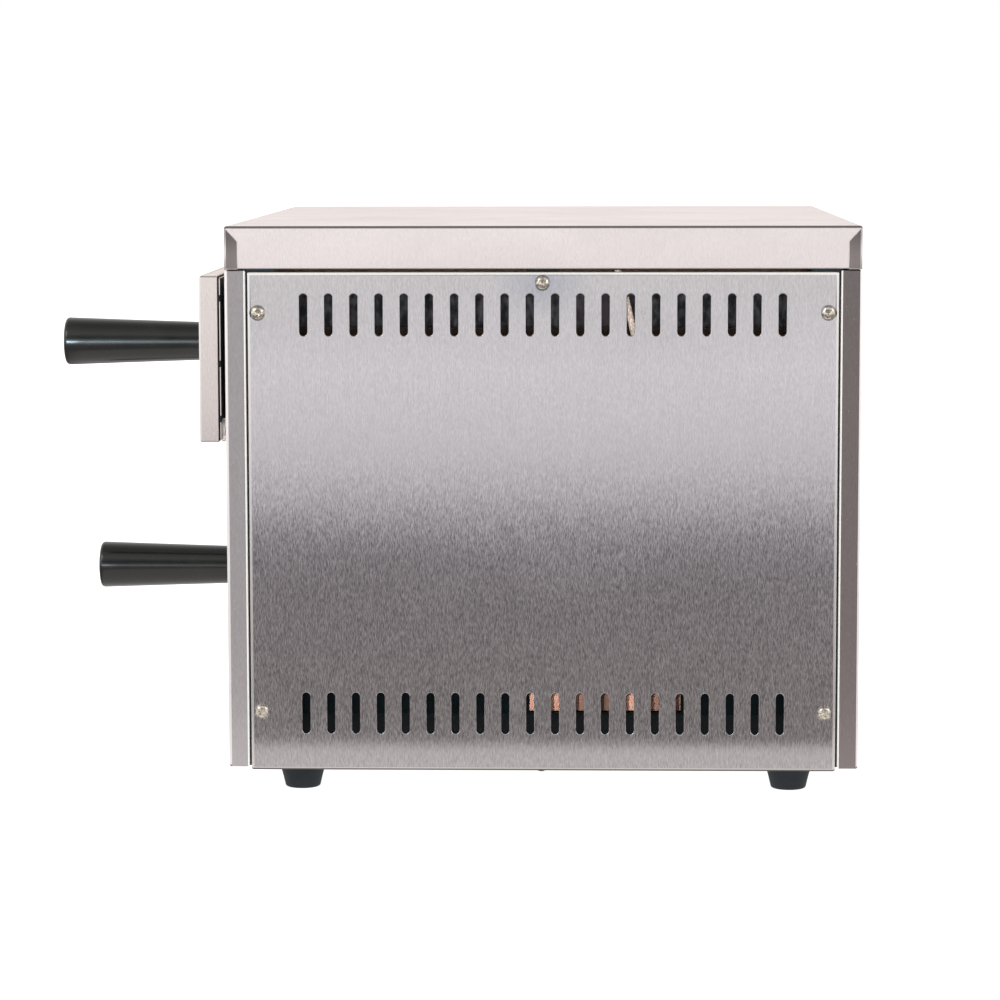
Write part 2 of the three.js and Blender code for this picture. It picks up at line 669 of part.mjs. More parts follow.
for (const [side, sign] of hingeSpots()) {
  add(`hinge_bracket_${side}`, hingeBracket(sign), screwSteel);
  add(`hinge_pin_${side}`, hingePin(sign), screwSteel);
}
add("door_pan", doorPan(), brushed, door);
add("door_inner_plate", doorInnerPlate(), liner, door);
add("door_insulation", doorInsulation(), wool, door);
add("door_handle", handle(DOOR_MIDDLE, FRONT - DOOR.proud, DOOR.handleZ), bakelite, door);

// ---------------------------------------------------------------- drawer
const DRAWER_BACK = FRONT + DRAWER.recess + DRAWER.thick;

function drawerFront() {
  const y = [FRONT + DRAWER.recess, DRAWER_BACK];
  const x = [-DRAWER.half, DRAWER.half];
  const inner = (range) => [range[0] + THIN, range[1] - THIN];
  return shell([x, y, DRAWER.z], [inner(x), [y[0] + THIN, y[1] + 1], inner(DRAWER.z)]);
}

function drawerInsulation() {
  const y = [FRONT + DRAWER.recess + THIN + GAP, DRAWER_BACK - GAP];
  return box([1.4 - DRAWER.half, DRAWER.half - 1.4], y, [DRAWER.z[0] + 1.4, DRAWER.z[1] - 1.4]);
}

function drawerBackPlate() {
  const y = [DRAWER_BACK + GAP, DRAWER_BACK + GAP + THIN];
  return box([2 - DRAWER.half, DRAWER.half - 2], y, [DRAWER.z[0] + 1.5, DRAWER.z[1] - 1.5]);
}

function drawerPan() {
  const half = DRAWER_PAN.half;
  const y = [DRAWER_BACK + 2 * GAP + THIN, DRAWER_BACK + 2 * GAP + THIN + DRAWER_PAN.depth];
  const z = DRAWER_PAN.z;
  const pan = shell(
    [[-half, half], y, z],
    [[-half + SHEET, half - SHEET], [y[0] + SHEET, y[1] - SHEET], [z[0] + SHEET, z[1] + 1]],
  );
  const lip = box([half - SHEET, half + DRAWER_PAN.lip], [y[0] + 6, y[1]], [z[1] - SHEET, z[1]]);
  return pan.add(lip).add(mirrorX(lip));
}

add("drawer_front", drawerFront(), brushed, drawer);
add("drawer_insulation", drawerInsulation(), wool, drawer);
add("drawer_back_plate", drawerBackPlate(), liner, drawer);
add("drawer_pan", drawerPan(), liner, drawer);
add("drawer_handle", handle(0, FRONT + DRAWER.recess, DRAWER.handleZ, DRAWER.handleExtra), bakelite, drawer);

// ---------------------------------------------------------------- controls
const KNOB = { skirt: 21, grip: 16, height: 17, shaft: 2.9 };
const THERMOSTAT_DEPTH = 31;
const TIMER = { radius: 23, depth: 34 };

// A round knob with a raised grip bar, and the shaft it turns.
function knob(x, z) {
  const out = Y.clone().negate();
  const face = FRONT - 1;
  const { skirt, grip, height } = KNOB;
  const profile = [
    [0, 0],
    [skirt, 0],
    [skirt, 2],
    [skirt - 3, 3.4],
    [grip, 4],
    [grip - 1, height - 4],
    [grip - 2.2, height - 3],
    [0, height - 3],
  ];
  const bar = box([x - 3.2, x + 3.2], [face - height, face - 3], [z - grip + 1.5, z + grip - 1.5]);
  const shaft = rod(KNOB.shaft, 9, Y, [x, face - 1, z], 10);
  return turned(profile, out, [x, face, z], 20).add(bar).add(shaft);
}

// The body behind a knob, with a blind hole that the shaft turns in.
function controlBody(made, x, z) {
  const hole = rod(KNOB.shaft + GAP, 12, Y, [x, FRONT - 1, z], 10);
  return made.subtract(hole);
}

function thermostatBody(x, z) {
  const y = FRONT + SHEET + GAP;
  const block = box([x - 18, x + 18], [y, y + 26], [z - 16, z + 16]);
  const boss = box([x - 12, x + 12], [y, y + THERMOSTAT_DEPTH], [z - 10, z + 10]);
  return controlBody(block.add(boss), x, z);
}

function timerBody(x, z) {
  return controlBody(rod(TIMER.radius, TIMER.depth, Y, [x, FRONT + SHEET + GAP, z], 16), x, z);
}

const ROCKER_X = KNOB_COLUMNS[1];
const ROCKER_Z = CONTROL_ROWS[1];
const ROCKER_Y = FRONT - 0.5; // the rocker's pivot

function switchHousing() {
  const [hx, hz] = ROCKER.hole;
  const lap = 2;
  const bezel = box(
    [ROCKER_X - hx - lap, ROCKER_X + hx + lap],
    [FRONT - 1.8, FRONT - GAP],
    [ROCKER_Z - hz - lap, ROCKER_Z + hz + lap],
  );
  const x = [ROCKER_X - hx + GAP, ROCKER_X + hx - GAP];
  const body = box(x, [FRONT - 1, FRONT + 22], [ROCKER_Z - hz + GAP, ROCKER_Z + hz - GAP]);
  const [rx, rz] = ROCKER.half;
  const well = box(
    [ROCKER_X - rx - 0.4, ROCKER_X + rx + 0.4],
    [FRONT - 3, FRONT + 9],
    [ROCKER_Z - rz - 0.5, ROCKER_Z + rz + 0.5],
  );
  return bezel.add(body).subtract(well);
}

// The rocker is drawn level, then tilted to its off position.
function rocker() {
  const [rx, rz] = ROCKER.half;
  const side = new THREE.Shape();
  side.moveTo(-4, -rz + 1.2);
  side.quadraticCurveTo(-1.2, 0, -4, rz - 1.2);
  side.lineTo(3, rz - 3);
  side.lineTo(5, 0);
  side.lineTo(3, -rz + 3);
  side.closePath();
  const geometry = new THREE.ExtrudeGeometry(side, { depth: 2 * rx, bevelEnabled: false, curveSegments: 6 });
  geometry.applyMatrix4(new THREE.Matrix4().makeBasis(Y, Z, X)).translate(-rx, 0, 0);
  geometry.rotateX(THREE.MathUtils.degToRad(ROCKER.tilt)).translate(ROCKER_X, ROCKER_Y, ROCKER_Z);
  return solid(geometry);
}

function lamp(x, z) {
  const profile = [[0, -16], [3.7, -16], [3.7, 0], [6.5, 0], [6.2, 1.4], [4.6, 1.8], [3.6, 3.6], [0, 4.4]];
  return turned(profile, Y.clone().negate(), [x, FRONT - GAP, z], 12);
}

const thermostats = [["upper", CONTROL_ROWS[0]], ["lower", CONTROL_ROWS[1]]];
for (const [name, z] of thermostats) {
  add(`thermostat_knob_${name}`, knob(KNOB_COLUMNS[0], z), plastic, controls);
  add(`thermostat_body_${name}`, thermostatBody(KNOB_COLUMNS[0], z), ceramic, controls);
  add(`indicator_lamp_${name}`, lamp(LAMP_X, z), lens, controls);
}
add("timer_knob", knob(KNOB_COLUMNS[1], CONTROL_ROWS[0]), plastic, controls);
add("timer_body", timerBody(KNOB_COLUMNS[1], CONTROL_ROWS[0]), ceramic, controls);
add("power_switch_housing", switchHousing(), plastic, controls);
add("power_rocker", rocker(), plastic, controls);

// ---------------------------------------------------------------- wiring
// The gland the mains cord would enter by: its collar, its body through the back, and a nut inside.
function cableGland() {
  const profile = [
    [4.2, -9],
    [8, -9],
    [8, 0],
    [12, 0],
    [12, 7],
    [10.5, 9],
    [10.5, 18],
    [8, GLAND_REACH - GAP],
    [4.2, GLAND_REACH - GAP],
    [4.2, -9],
  ];
  const body = turned(profile, Y, [GLAND.x, BACK + GAP, GLAND.z], 12);
  const nut = new THREE.CylinderGeometry(12.5, 12.5, 5, 6);
  nut.translate(GLAND.x, BACK_INNER - GAP - 2.5, GLAND.z);
  const inner = rod(6, 20, Y, [GLAND.x, BACK_INNER - 15, GLAND.z], 12);
  return body.add(solid(nut).subtract(inner));
}

function terminalBlock() {
  const [x, y, z] = [GLAND.x, BACK - 70, BAY_FLOOR + SHEET + GAP];
  let block = box([x - 25, x + 25], [y - 12, y + 12], [z, z + 20]);
  for (const groove of [x - 8, x + 8]) {
    block = block.subtract(box([groove - 1, groove + 1], [y - 13, y + 13], [z + 8, z + 21]));
  }
  return block;
}

// A glass-fibre sleeved lead: from the floor element's end, up the gap beside the chamber, over the top
// insulation and down to the thermostat.
function elementLead() {
  const [[y, z]] = floorElementEnds();
  const radius = 1.9;
  const start = UPPER.x[1] + 13 + GAP;
  const overTop = UPPER.z[1] + 30;
  const corners = [
    [start, y, z],
    [start + 9, y, z],
    [start + 9, MIDDLE + 56, 374],
    [start - 20, MIDDLE + 48, overTop],
    [PARTITION_X - 10, MIDDLE + 10, overTop],
    [KNOB_COLUMNS[0] + 14, FRONT + 110, overTop - 18],
    [KNOB_COLUMNS[0] + 6, FRONT + 70, CONTROL_ROWS[0] + 4],
    [KNOB_COLUMNS[0] + 6, FRONT + SHEET + GAP + THERMOSTAT_DEPTH + 0.4, CONTROL_ROWS[0] + 4],
  ];
  return tube(corners, radius, 22);
}

add("cable_gland", cableGland(), plastic);
add("terminal_block", terminalBlock(), ceramic);
add("element_lead", elementLead(), sleeve);

export default oven;
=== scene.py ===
import math

import bmesh
import bpy
from mathutils import Matrix, Vector, noise

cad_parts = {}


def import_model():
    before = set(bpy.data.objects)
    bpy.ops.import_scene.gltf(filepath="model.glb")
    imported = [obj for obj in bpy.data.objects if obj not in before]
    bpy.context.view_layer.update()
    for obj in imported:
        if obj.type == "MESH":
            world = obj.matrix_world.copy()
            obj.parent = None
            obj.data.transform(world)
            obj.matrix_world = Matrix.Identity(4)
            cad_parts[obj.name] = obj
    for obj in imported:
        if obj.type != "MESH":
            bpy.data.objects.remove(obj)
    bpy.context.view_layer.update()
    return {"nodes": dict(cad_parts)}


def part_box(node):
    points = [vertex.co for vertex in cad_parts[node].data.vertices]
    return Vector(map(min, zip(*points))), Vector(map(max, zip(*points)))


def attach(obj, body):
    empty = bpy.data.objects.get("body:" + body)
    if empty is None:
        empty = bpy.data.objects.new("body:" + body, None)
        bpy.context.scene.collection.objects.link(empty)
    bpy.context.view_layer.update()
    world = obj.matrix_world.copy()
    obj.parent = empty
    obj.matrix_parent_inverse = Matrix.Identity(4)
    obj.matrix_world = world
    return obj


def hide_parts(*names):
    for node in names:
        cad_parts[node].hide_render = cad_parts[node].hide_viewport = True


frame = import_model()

scene = bpy.context.scene
MM = 0.001


def span(node):
    """The x, y and z ranges of a CAD node, in millimetres."""
    low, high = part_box(node)
    return [(low[i] / MM, high[i] / MM) for i in range(3)]


# ---- places, in millimetres, from the frame
FASCIA_X, FASCIA_Y, FASCIA_Z = span("front_frame")
FRONT, BACK = FASCIA_Y[0], span("rear_panel")[1][1]
MIDDLE = (FRONT + BACK) / 2
LID_X, LID_Y, lid_z = span("top_cover")
LID_Z = (FASCIA_Z[1] + 0.1, lid_z[1])
panel_x, _, panel_z = span("side_panel_right")
PANEL_FACE, PANEL_HALF = panel_x[1], 211.1
PANEL_Y = (MIDDLE - PANEL_HALF, MIDDLE + PANEL_HALF)
PANEL_Z = (panel_z[0], FASCIA_Z[1] - 2.1)
DRAWER_X, _, DRAWER_Z = span("drawer_front")
CHAMBER_X, _, CHAMBER_Z = span("upper_chamber_liner")
POST = 15.1  # how far a corner post reaches along Y
SLOT_PITCH, SLOT_COUNT, SLOT_WIDTH, SLOT_LENGTH = 18, 20, 5.7, 30
SLOT_ROWS = (59.8, 347.8)
SHEET = 1.2
THIN = 1.0


def middle(node, first=0, second=2):
    """The middle of a CAD node along two axes, X and Z unless others are named."""
    ranges = span(node)
    return sum(ranges[first]) / 2, sum(ranges[second]) / 2


# ---- materials
class Graph:
    """Makes and links the nodes of a material or world, whose textures follow one kind of coordinates."""

    def __init__(self, owner, coordinates, source="TexCoord"):
        owner.use_nodes = True
        self.tree = owner.node_tree
        self.tree.nodes.clear()
        self.coordinates = self.new(source, out=coordinates)

    def put(self, socket, value):
        if hasattr(value, "node"):
            self.tree.links.new(value, socket)
        elif isinstance(value, tuple) and len(value) == 3 and socket.type == "RGBA":
            socket.default_value = (*value, 1)
        else:
            socket.default_value = value

    def new(self, kind, *values, out=0, **named):
        """A node's output. Values fill its first inputs; capitalised names are inputs, others settings."""
        node = self.tree.nodes.new("ShaderNode" + kind)
        for key, value in named.items():
            if key[0].isupper():
                self.put(node.inputs[key], value)
            else:
                setattr(node, key, value)
        for socket, value in zip(node.inputs, values):
            self.put(socket, value)
        return node.outputs[out] if len(node.outputs) else None

    def math(self, operation, a, b=0.0, c=0.0):
        return self.new("Math", a, b, c, operation=operation)

    def stretched(self, stretch, turn=(0, 0, 0)):
        stretch = stretch if isinstance(stretch, tuple) else (stretch,) * 3
        return self.new("Mapping", self.coordinates, Rotation=turn, Scale=stretch)

    def noise(self, stretch, detail=2.0, roughness=0.5, turn=(0, 0, 0), distortion=0.0):
        """Noise with features about 1/stretch metres across, along each axis or along all three."""
        return self.new("TexNoise", self.stretched(stretch, turn), Scale=1.0, Detail=detail,
                        Roughness=roughness, Distortion=distortion)

    def voronoi(self, stretch):
        return self.new("TexVoronoi", self.stretched(stretch), Scale=1.0, out="Distance")

    def axis(self, index):
        return self.new("SeparateXYZ", self.coordinates, out=index)

    def ramp(self, value, stops):
        """Straight steps through (place, shade) stops, where a shade is a number or a colour."""
        result = self.new("ValToRGB", value)
        elements = result.node.color_ramp.elements
        while len(elements) < len(stops):
            elements.new(0.5)
        for element, (place, shade) in zip(elements, stops):
            element.position = place
            element.color = (*shade, 1) if isinstance(shade, tuple) else (shade, shade, shade, 1)
        return result

    def range(self, value, from_low, from_high, low, high):
        return self.new("MapRange", value, from_low, from_high, low, high)

    def mix(self, factor, a, b, blend="MIX"):
        result = self.new("Mix", factor, out=2, data_type="RGBA", blend_type=blend)
        self.put(result.node.inputs[6], a)
        self.put(result.node.inputs[7], b)
        return result

    def average(self, *pairs):
        """A weighted sum of (weight, value) pairs."""
        total = 0.0
        for weight, value in pairs:
            total = self.math("MULTIPLY_ADD", value, weight, total)
        return total


class Shade(Graph):
    """A Principled material whose colour, roughness and bump come from procedural nodes."""

    def __init__(self, name, **settings):
        self.material = bpy.data.materials.new(name)
        super().__init__(self.material, "Object")
        surface = self.new("BsdfPrincipled")
        self.shader = surface.node
        for key, value in settings.items():
            self.shader.inputs[key.replace("_", " ")].default_value = value
        self.new("OutputMaterial", surface)

    def finish(self, colour, roughness, height, strength=0.2, distance=0.0001, wide=None):
        """Ends the material. `height` is its fine relief, and `wide` the slow waves under it."""
        self.put(self.shader.inputs["Base Color"], colour)
        self.put(self.shader.inputs["Roughness"], roughness)
        bump = self.new("Bump", Strength=strength, Distance=distance, Height=height)
        if wide is not None:
            waves = self.new("Bump", Strength=1.0, Distance=0.001, Height=wide)
            self.put(bump.node.inputs["Normal"], waves)
        self.put(self.shader.inputs["Normal"], bump)
        return self.material


def scaled(tint, k):
    return tuple(min(c * k, 1.0) for c in tint)


GRAIN_UP = (3200, 3200, 55)
GRAIN_ACROSS = (55, 3200, 55)
STREAKS = (2300, 2300, 300)
STREAKS_FOOT = (0.034, 0.044)  # metres: below this, the streaks are faint
STREAKS_TURN = (0.19, 0.25)  # metres: over this, they go from their lower strength to their upper one
SHADOW = (0.085, 0.075, 0.078)


def brushed(name, tint, roughness=0.2, anisotropic=0.75, grain=GRAIN_UP, contrast=0.16, waviness=0.0,
            speckle=None, painted_light_ramp=None, grazing=1.0, under=None, nicks=0.0, marks=0.35, stain_and_painted_shade=None,
            metallic=1.0):
    """Brushed stainless steel: fine grain, broader streaks, faint smears and a few short scratches.

    speckle is how strong the streaks are low down and high up. fade is (from z, to z, shade, shade), a ramp
    over height that scales the colour as painted light and shade.
    under is the height of a bottom edge, which is painted dark up to there as painted shade. nicks are
    bright dots.
    """
    s = Shade(name, Metallic=metallic, Anisotropic=anisotropic, Specular_Tint=(*scaled(tint, grazing), 1))
    fine = s.noise(grain, detail=3, roughness=0.6)
    broad = s.noise(tuple(g * 0.28 for g in grain))
    smear = s.noise((9, 9, 14), detail=3, roughness=0.55, distortion=0.6)
    scratch = s.math("GREATER_THAN", s.noise((60, 260, 1500), detail=0, turn=(0.6, 0.3, 0)), 0.80)
    worn = s.average((0.5, fine), (0.3, broad), (0.2, smear))
    colour = s.mix(worn, scaled(tint, 1 - contrast), scaled(tint, 1 + contrast))
    colour = s.mix(s.math("MULTIPLY", scratch, marks), colour, scaled(tint, 1.25))
    # painted light and shade: the colour is scaled by a ramp over height
    if painted_light_ramp is not None:
        colour = s.mix(1.0, colour, s.range(s.axis(2), *painted_light_ramp), "MULTIPLY")
    # a function that adds a patch of painted shade, where one is given
    if stain_and_painted_shade is not None:
        colour = stain_and_painted_shade(s, colour)
    # painted shade: a dark band along the bottom edge
    if under is not None:
        colour = s.mix(s.range(s.axis(2), under, under + 0.0012, 1, 0), colour, SHADOW)
    if nicks:
        spot = s.math("GREATER_THAN", s.noise((420, 420, 300), detail=2, roughness=0.6), 0.735)
        colour = s.mix(s.math("MULTIPLY", spot, nicks), colour, (0.95, 0.93, 0.92))
    if speckle is not None:
        streak = s.math("SUBTRACT", s.noise(STREAKS), 0.5)
        depth = s.range(s.axis(2), *STREAKS_TURN, *speckle)
        depth = s.math("MULTIPLY", depth, s.range(s.axis(2), *STREAKS_FOOT, 0.4, 1.0))
        colour = s.mix(1.0, colour, s.math("MULTIPLY_ADD", streak, depth, 1.0), "MULTIPLY")
    rough = s.range(s.average((0.4, fine), (0.6, smear)), 0.3, 0.7, roughness - 0.04, roughness + 0.05)
    wide = None
    if waviness:
        wide = s.math("MULTIPLY", s.noise((7, 7, 5), detail=1), waviness)
    return s.finish(colour, rough, fine, 0.12, 0.00002, wide)


def screw_painted_shade(s, colour):
    """Painted shade: a darker bluish patch round the screw in the middle of a side panel's top edge."""
    aside = s.math("ABSOLUTE", s.math("SUBTRACT", s.axis(1), MIDDLE * MM))
    patch = s.math("MULTIPLY", s.range(aside, 0.004, 0.034, 0.5, 0), s.range(s.axis(2), 0.345, 0.366, 0, 1))
    return s.mix(patch, colour, (0.28, 0.31, 0.37))


POST_RISE = (FASCIA_Z[0] * MM, FASCIA_Z[1] * MM)
PANEL_TINT = (0.592, 0.566, 0.580)
LID_TINT = (0.780, 0.715, 0.702)
# A much lighter tint than the flat faces, for bends and rolled edges: a painted highlight.
BEND_PAINTED_HIGHLIGHT = (0.93, 0.89, 0.87)
# height of the painted shade line at the foot of the front frame and rear panel
FRAME_UNDER = (FASCIA_Z[0] + 0.8) * MM
# The side panel's colour darkens towards its top edge as painted shade, and its top screw has a painted
# shade patch.
STEEL_PANEL = brushed("steel_side_panel", PANEL_TINT, 0.13, 0.7, waviness=0.05, speckle=(2.7, 0.62),
                      painted_light_ramp=(0.31, 0.378, 1.0, 0.77), stain_and_painted_shade=screw_painted_shade)
STEEL_LID = brushed("steel_lid", LID_TINT, 0.24, 0.6, GRAIN_ACROSS, 0.06, waviness=0.03, speckle=(0.3, 0.3))
# The lid's top is a lighter copy of the lid steel: painted light.
STEEL_LID_TOP_PAINTED_LIGHT = brushed("steel_lid_top_painted_light", (0.88, 0.815, 0.80), 0.24, 0.0, GRAIN_ACROSS, 0.05, speckle=(0.2, 0.2),
                    grazing=1.1, marks=0.0)
# The lid's corner tabs are a darker copy of the lid steel, painted shade, with a ramp that is lighter low
# down and darker high up: painted light and shade.
STEEL_LID_TAB_PAINTED_SHADE = brushed("steel_lid_tab_painted_shade", (0.33, 0.285, 0.282), 0.4, 0.4, painted_light_ramp=(0.372, 0.402, 1.3, 0.8))
# A darker steel for the middle of the lid's top bend: a painted dark reflection.
STEEL_LID_BEND_PAINTED_REFLECTION = brushed("steel_lid_bend_painted_reflection", (0.30, 0.27, 0.265), 0.35, 0.3, contrast=0.05)
STEEL_FRAME = brushed("steel_frame", (0.60, 0.57, 0.565), 0.3, 0.6, contrast=0.12, speckle=(0.4, 0.4))
# The front post's steel is lighter towards the bottom and darker towards the top: painted light and shade.
STEEL_FRONT_POST_PAINTED_LIGHT = brushed("steel_front_post_painted_light", (0.56, 0.53, 0.537), 0.5, 0.4, contrast=0.12, speckle=(0.5, 0.5),
                     painted_light_ramp=(*POST_RISE, 1.25, 0.95), nicks=0.5)
# The rear post's steel is a much darker copy of the post steel, painted shade, lighter towards the bottom
# and darker towards the top.
STEEL_REAR_POST_PAINTED_SHADE = brushed("steel_rear_post_painted_shade", (0.288, 0.247, 0.244), 0.5, 0.4, contrast=0.12, speckle=(0.5, 0.5),
                     painted_light_ramp=(*POST_RISE, 1.35, 0.92), nicks=0.5)
STEEL_DOOR = brushed("steel_door", (0.77, 0.695, 0.66), 0.26, 0.6, contrast=0.1, speckle=(0.4, 0.4),
                     grazing=1.3, nicks=0.3)
# Bends and rolled edges in the lighter tint, a painted highlight; the post bend is also half metallic so
# that it reads brighter.
STEEL_EDGE = brushed("steel_bend_painted_highlight", BEND_PAINTED_HIGHLIGHT, 0.3, 0.3, contrast=0.05, under=FRAME_UNDER)
STEEL_RIM = brushed("steel_panel_bend_painted_highlight", BEND_PAINTED_HIGHLIGHT, 0.3, 0.3, contrast=0.05, under=(PANEL_Z[0] + 0.7) * MM)
# A near-white, mostly non-metal steel for the side panel's top bend and each post's inner turn: a painted
# highlight.
STEEL_LIP_PAINTED_HIGHLIGHT = brushed("steel_panel_lip_painted_highlight", (0.98, 0.95, 0.91), 0.45, 0.0, contrast=0.05, marks=0.0, metallic=0.2)
STEEL_CORNER = brushed("steel_post_bend_painted_highlight", BEND_PAINTED_HIGHLIGHT, 0.35, 0.2, contrast=0.05, marks=0.0, metallic=0.5,
                       under=FRAME_UNDER)


def dull_steel(name, tint, stain_and_painted_shade, roughness=0.45, mask=None):
    """Plain sheet inside the casing: cloudy, a little heat-stained, with rolling marks."""
    s = Shade(name, Metallic=1.0)
    cloud = s.noise(22, detail=4, roughness=0.6)
    roll = s.noise((900, 30, 900))
    colour = s.mix(s.range(cloud, 0.35, 0.65, 0, 1), tint, stain_and_painted_shade)
    if mask is not None:
        colour = mask(s, colour)
    rough = s.range(s.average((0.5, cloud), (0.5, roll)), 0.3, 0.7, roughness - 0.1, roughness + 0.12)
    return s.finish(colour, rough, s.average((0.6, roll), (0.4, cloud)), 0.15, 0.00005)


def outside_wall_painted_shade_and_light(s, colour):
    """The chamber's right wall, outside: dark mottled colour as painted shade, with a violet-grey heat tint
    towards the back that is lighter there as painted light.
    """
    outside = s.math("GREATER_THAN", s.axis(0), (CHAMBER_X[1] - THIN / 2) * MM)
    rise = s.range(s.axis(1), (MIDDLE + 20) * MM, (MIDDLE + 32) * MM, 0, 1)
    fall = s.range(s.axis(1), (MIDDLE + 54) * MM, (MIDDLE + 72) * MM, 1, 0)
    # where the wall is lit through the slots: painted light
    lit = s.math("MULTIPLY", rise, fall)
    mottle = s.noise((260, 260, 130), detail=3)
    scale = s.mix(s.range(mottle, 0.4, 0.7, 0, 1), (0.07, 0.073, 0.080), (0.26, 0.26, 0.275))
    violet = s.mix(mottle, (0.16, 0.13, 0.15), (0.26, 0.22, 0.24))
    return s.mix(outside, colour, s.mix(lit, scale, violet))


LINER = dull_steel("liner_steel", (0.42, 0.40, 0.39), (0.30, 0.25, 0.20), 0.4)
LINER_UPPER = dull_steel("chamber_liner_steel", (0.42, 0.40, 0.39), (0.30, 0.24, 0.18), 0.4, outside_wall_painted_shade_and_light)


TRAY_FLANGE = 0.261  # metres from the middle to the tray's side flanges


def painted_shade_flange(s, colour):
    """The tray's side flanges, coloured near black as painted shade where they show through the lower slots.
    """
    outside = s.math("GREATER_THAN", s.math("ABSOLUTE", s.axis(0)), TRAY_FLANGE)
    return s.mix(outside, colour, (0.026, 0.040, 0.046))


def zinc(name, mask=None):
    s = Shade(name, Metallic=1.0)
    spangle = s.voronoi(160)
    fine = s.noise(700)
    colour = s.mix(s.range(spangle, 0.1, 0.8, 0, 1), (0.42, 0.43, 0.44), (0.30, 0.31, 0.32))
    if mask is not None:
        colour = mask(s, colour)
    return s.finish(colour, s.range(spangle, 0, 1, 0.35, 0.55), fine, 0.08, 0.00003)


ZINC = zinc("galvanised_sheet")
ZINC_TRAY = zinc("galvanised_tray", painted_shade_flange)


def cloudy(name, metallic, patch, low, high, roughness, strength):
    """A dark metal with patches about 1/patch metres across."""
    s = Shade(name, Metallic=metallic)
    cloud = s.noise(patch, detail=3)
    return s.finish(s.mix(cloud, low, high), s.range(cloud, 0.3, 0.7, *roughness), cloud, strength, 0.0001)


# A dark teal for the base pan and for the strips in the gaps beside the posts: painted shade.
BASE_PAINTED_SHADE = cloudy("base_pan_painted_shade", 0.6, 40, (0.05, 0.078, 0.088), (0.13, 0.155, 0.165), (0.45, 0.7), 0.1)
# Near black for the lid's ears, in the gap under the lid: painted shade.
EAR_PAINTED_SHADE = cloudy("lid_ear_painted_shade", 0.6, 40, (0.020, 0.016, 0.013), (0.05, 0.04, 0.033), (0.45, 0.7), 0.1)
ELEMENT = cloudy("element_sheath", 0.85, 90, (0.045, 0.040, 0.038), (0.13, 0.105, 0.085), (0.35, 0.6), 0.2)


def nickel():
    s = Shade("screw_nickel", Metallic=1.0)
    cloud = s.noise(520, detail=3, roughness=0.65)
    spot = s.math("GREATER_THAN", s.noise(900, detail=1), 0.62)
    colour = s.mix(s.range(cloud, 0.38, 0.60, 0, 1), (0.60, 0.51, 0.40), (1.0, 0.95, 0.86))
    colour = s.mix(s.math("MULTIPLY", spot, 0.6), colour, (0.20, 0.15, 0.10))
    return s.finish(colour, s.range(cloud, 0.3, 0.7, 0.14, 0.26), cloud, 0.5, 0.0003)


NICKEL = nickel()


def moulded(name, low, high, roughness, grain=1500, depth=0.00004, specular=0.5, coat=0.0, along=None):
    """A moulded plastic or rubber: mottled colour and a fine skin, whose grain may run along Y."""
    s = Shade(name, Specular_IOR_Level=specular, Coat_Weight=coat, Coat_Roughness=0.12)
    skin = s.noise((grain, along or grain, grain))
    cloud = s.noise(45, detail=4, roughness=0.6, distortion=0.4)
    colour = s.mix(s.range(cloud, 0.3, 0.7, 0, 1), low, high)
    rough = s.range(s.average((0.5, skin), (0.5, cloud)), 0.3, 0.7, roughness - 0.05, roughness + 0.07)
    return s.finish(colour, rough, skin, 0.25, depth)


BAKELITE = moulded("handle_bakelite", (0.0020, 0.0028, 0.0020), (0.0075, 0.0070, 0.0045), 0.24,
                   grain=700, depth=0.00003, coat=0.6, along=20)
RUBBER = moulded("foot_rubber", (0.007, 0.013, 0.017), (0.016, 0.023, 0.028), 0.6, 1200, 0.00008, 0.4)
KNOB = moulded("knob_plastic", (0.014, 0.014, 0.015), (0.024, 0.024, 0.026), 0.32)
PLASTIC = moulded("black_plastic", (0.016, 0.016, 0.017), (0.030, 0.030, 0.032), 0.45)
CERAMIC = moulded("ceramic_body", (0.70, 0.66, 0.57), (0.80, 0.77, 0.69), 0.38, 600)
PRINT = moulded("dial_print", (0.010, 0.010, 0.011), (0.030, 0.030, 0.032), 0.6)
POINTER = moulded("pointer_white", (0.72, 0.72, 0.70), (0.84, 0.84, 0.82), 0.45)


def lens():
    s = Shade("lamp_lens", Transmission_Weight=0.35, IOR=1.49)
    facet = s.voronoi(900)
    colour = s.mix(facet, (0.78, 0.16, 0.03), (0.95, 0.32, 0.06))
    return s.finish(colour, s.range(facet, 0, 1, 0.12, 0.25), facet, 0.4, 0.0002)


LENS = lens()


def wool(name, light, dark, mask=None):
    """Mineral wool: tangled fibres, matted patches and a soft uneven face."""
    s = Shade(name, Sheen_Weight=0.25, Sheen_Roughness=0.5)
    fibre = s.noise((1400, 500, 700), detail=4, roughness=0.7, distortion=2.5)
    cloud = s.noise(60, detail=3, distortion=0.5)
    colour = s.mix(s.range(fibre, 0.3, 0.72, 0, 1), dark, light)
    colour = s.mix(s.range(cloud, 0.35, 0.7, 0, 0.5), colour, scaled(dark, 0.9))
    if mask is not None:
        colour = mask(s, colour)
    relief = s.average((0.7, fibre), (0.3, cloud))
    return s.finish(colour, s.range(fibre, 0, 1, 0.8, 0.98), relief, 0.9, 0.0012)


def painted_slot_light(s, colour):
    """Bands along Y, one behind each of seven slots, brighter or darker as painted light and shade from
    light falling in through the slots.
    """
    shades = [1.0, 0.95, 0.42, 0.20, 1.0, 0.46, 0.32]
    first = MIDDLE - SLOT_PITCH
    last = first + SLOT_PITCH * len(shades)
    along = s.range(s.axis(1), first * MM, last * MM, 0, 1)
    stops = [((i + 0.5) / len(shades), shade) for i, shade in enumerate(shades)]
    return s.mix(1.0, colour, s.ramp(along, stops), "MULTIPLY")


WOOL = wool("mineral_wool", (0.66, 0.42, 0.31), (0.40, 0.22, 0.15))
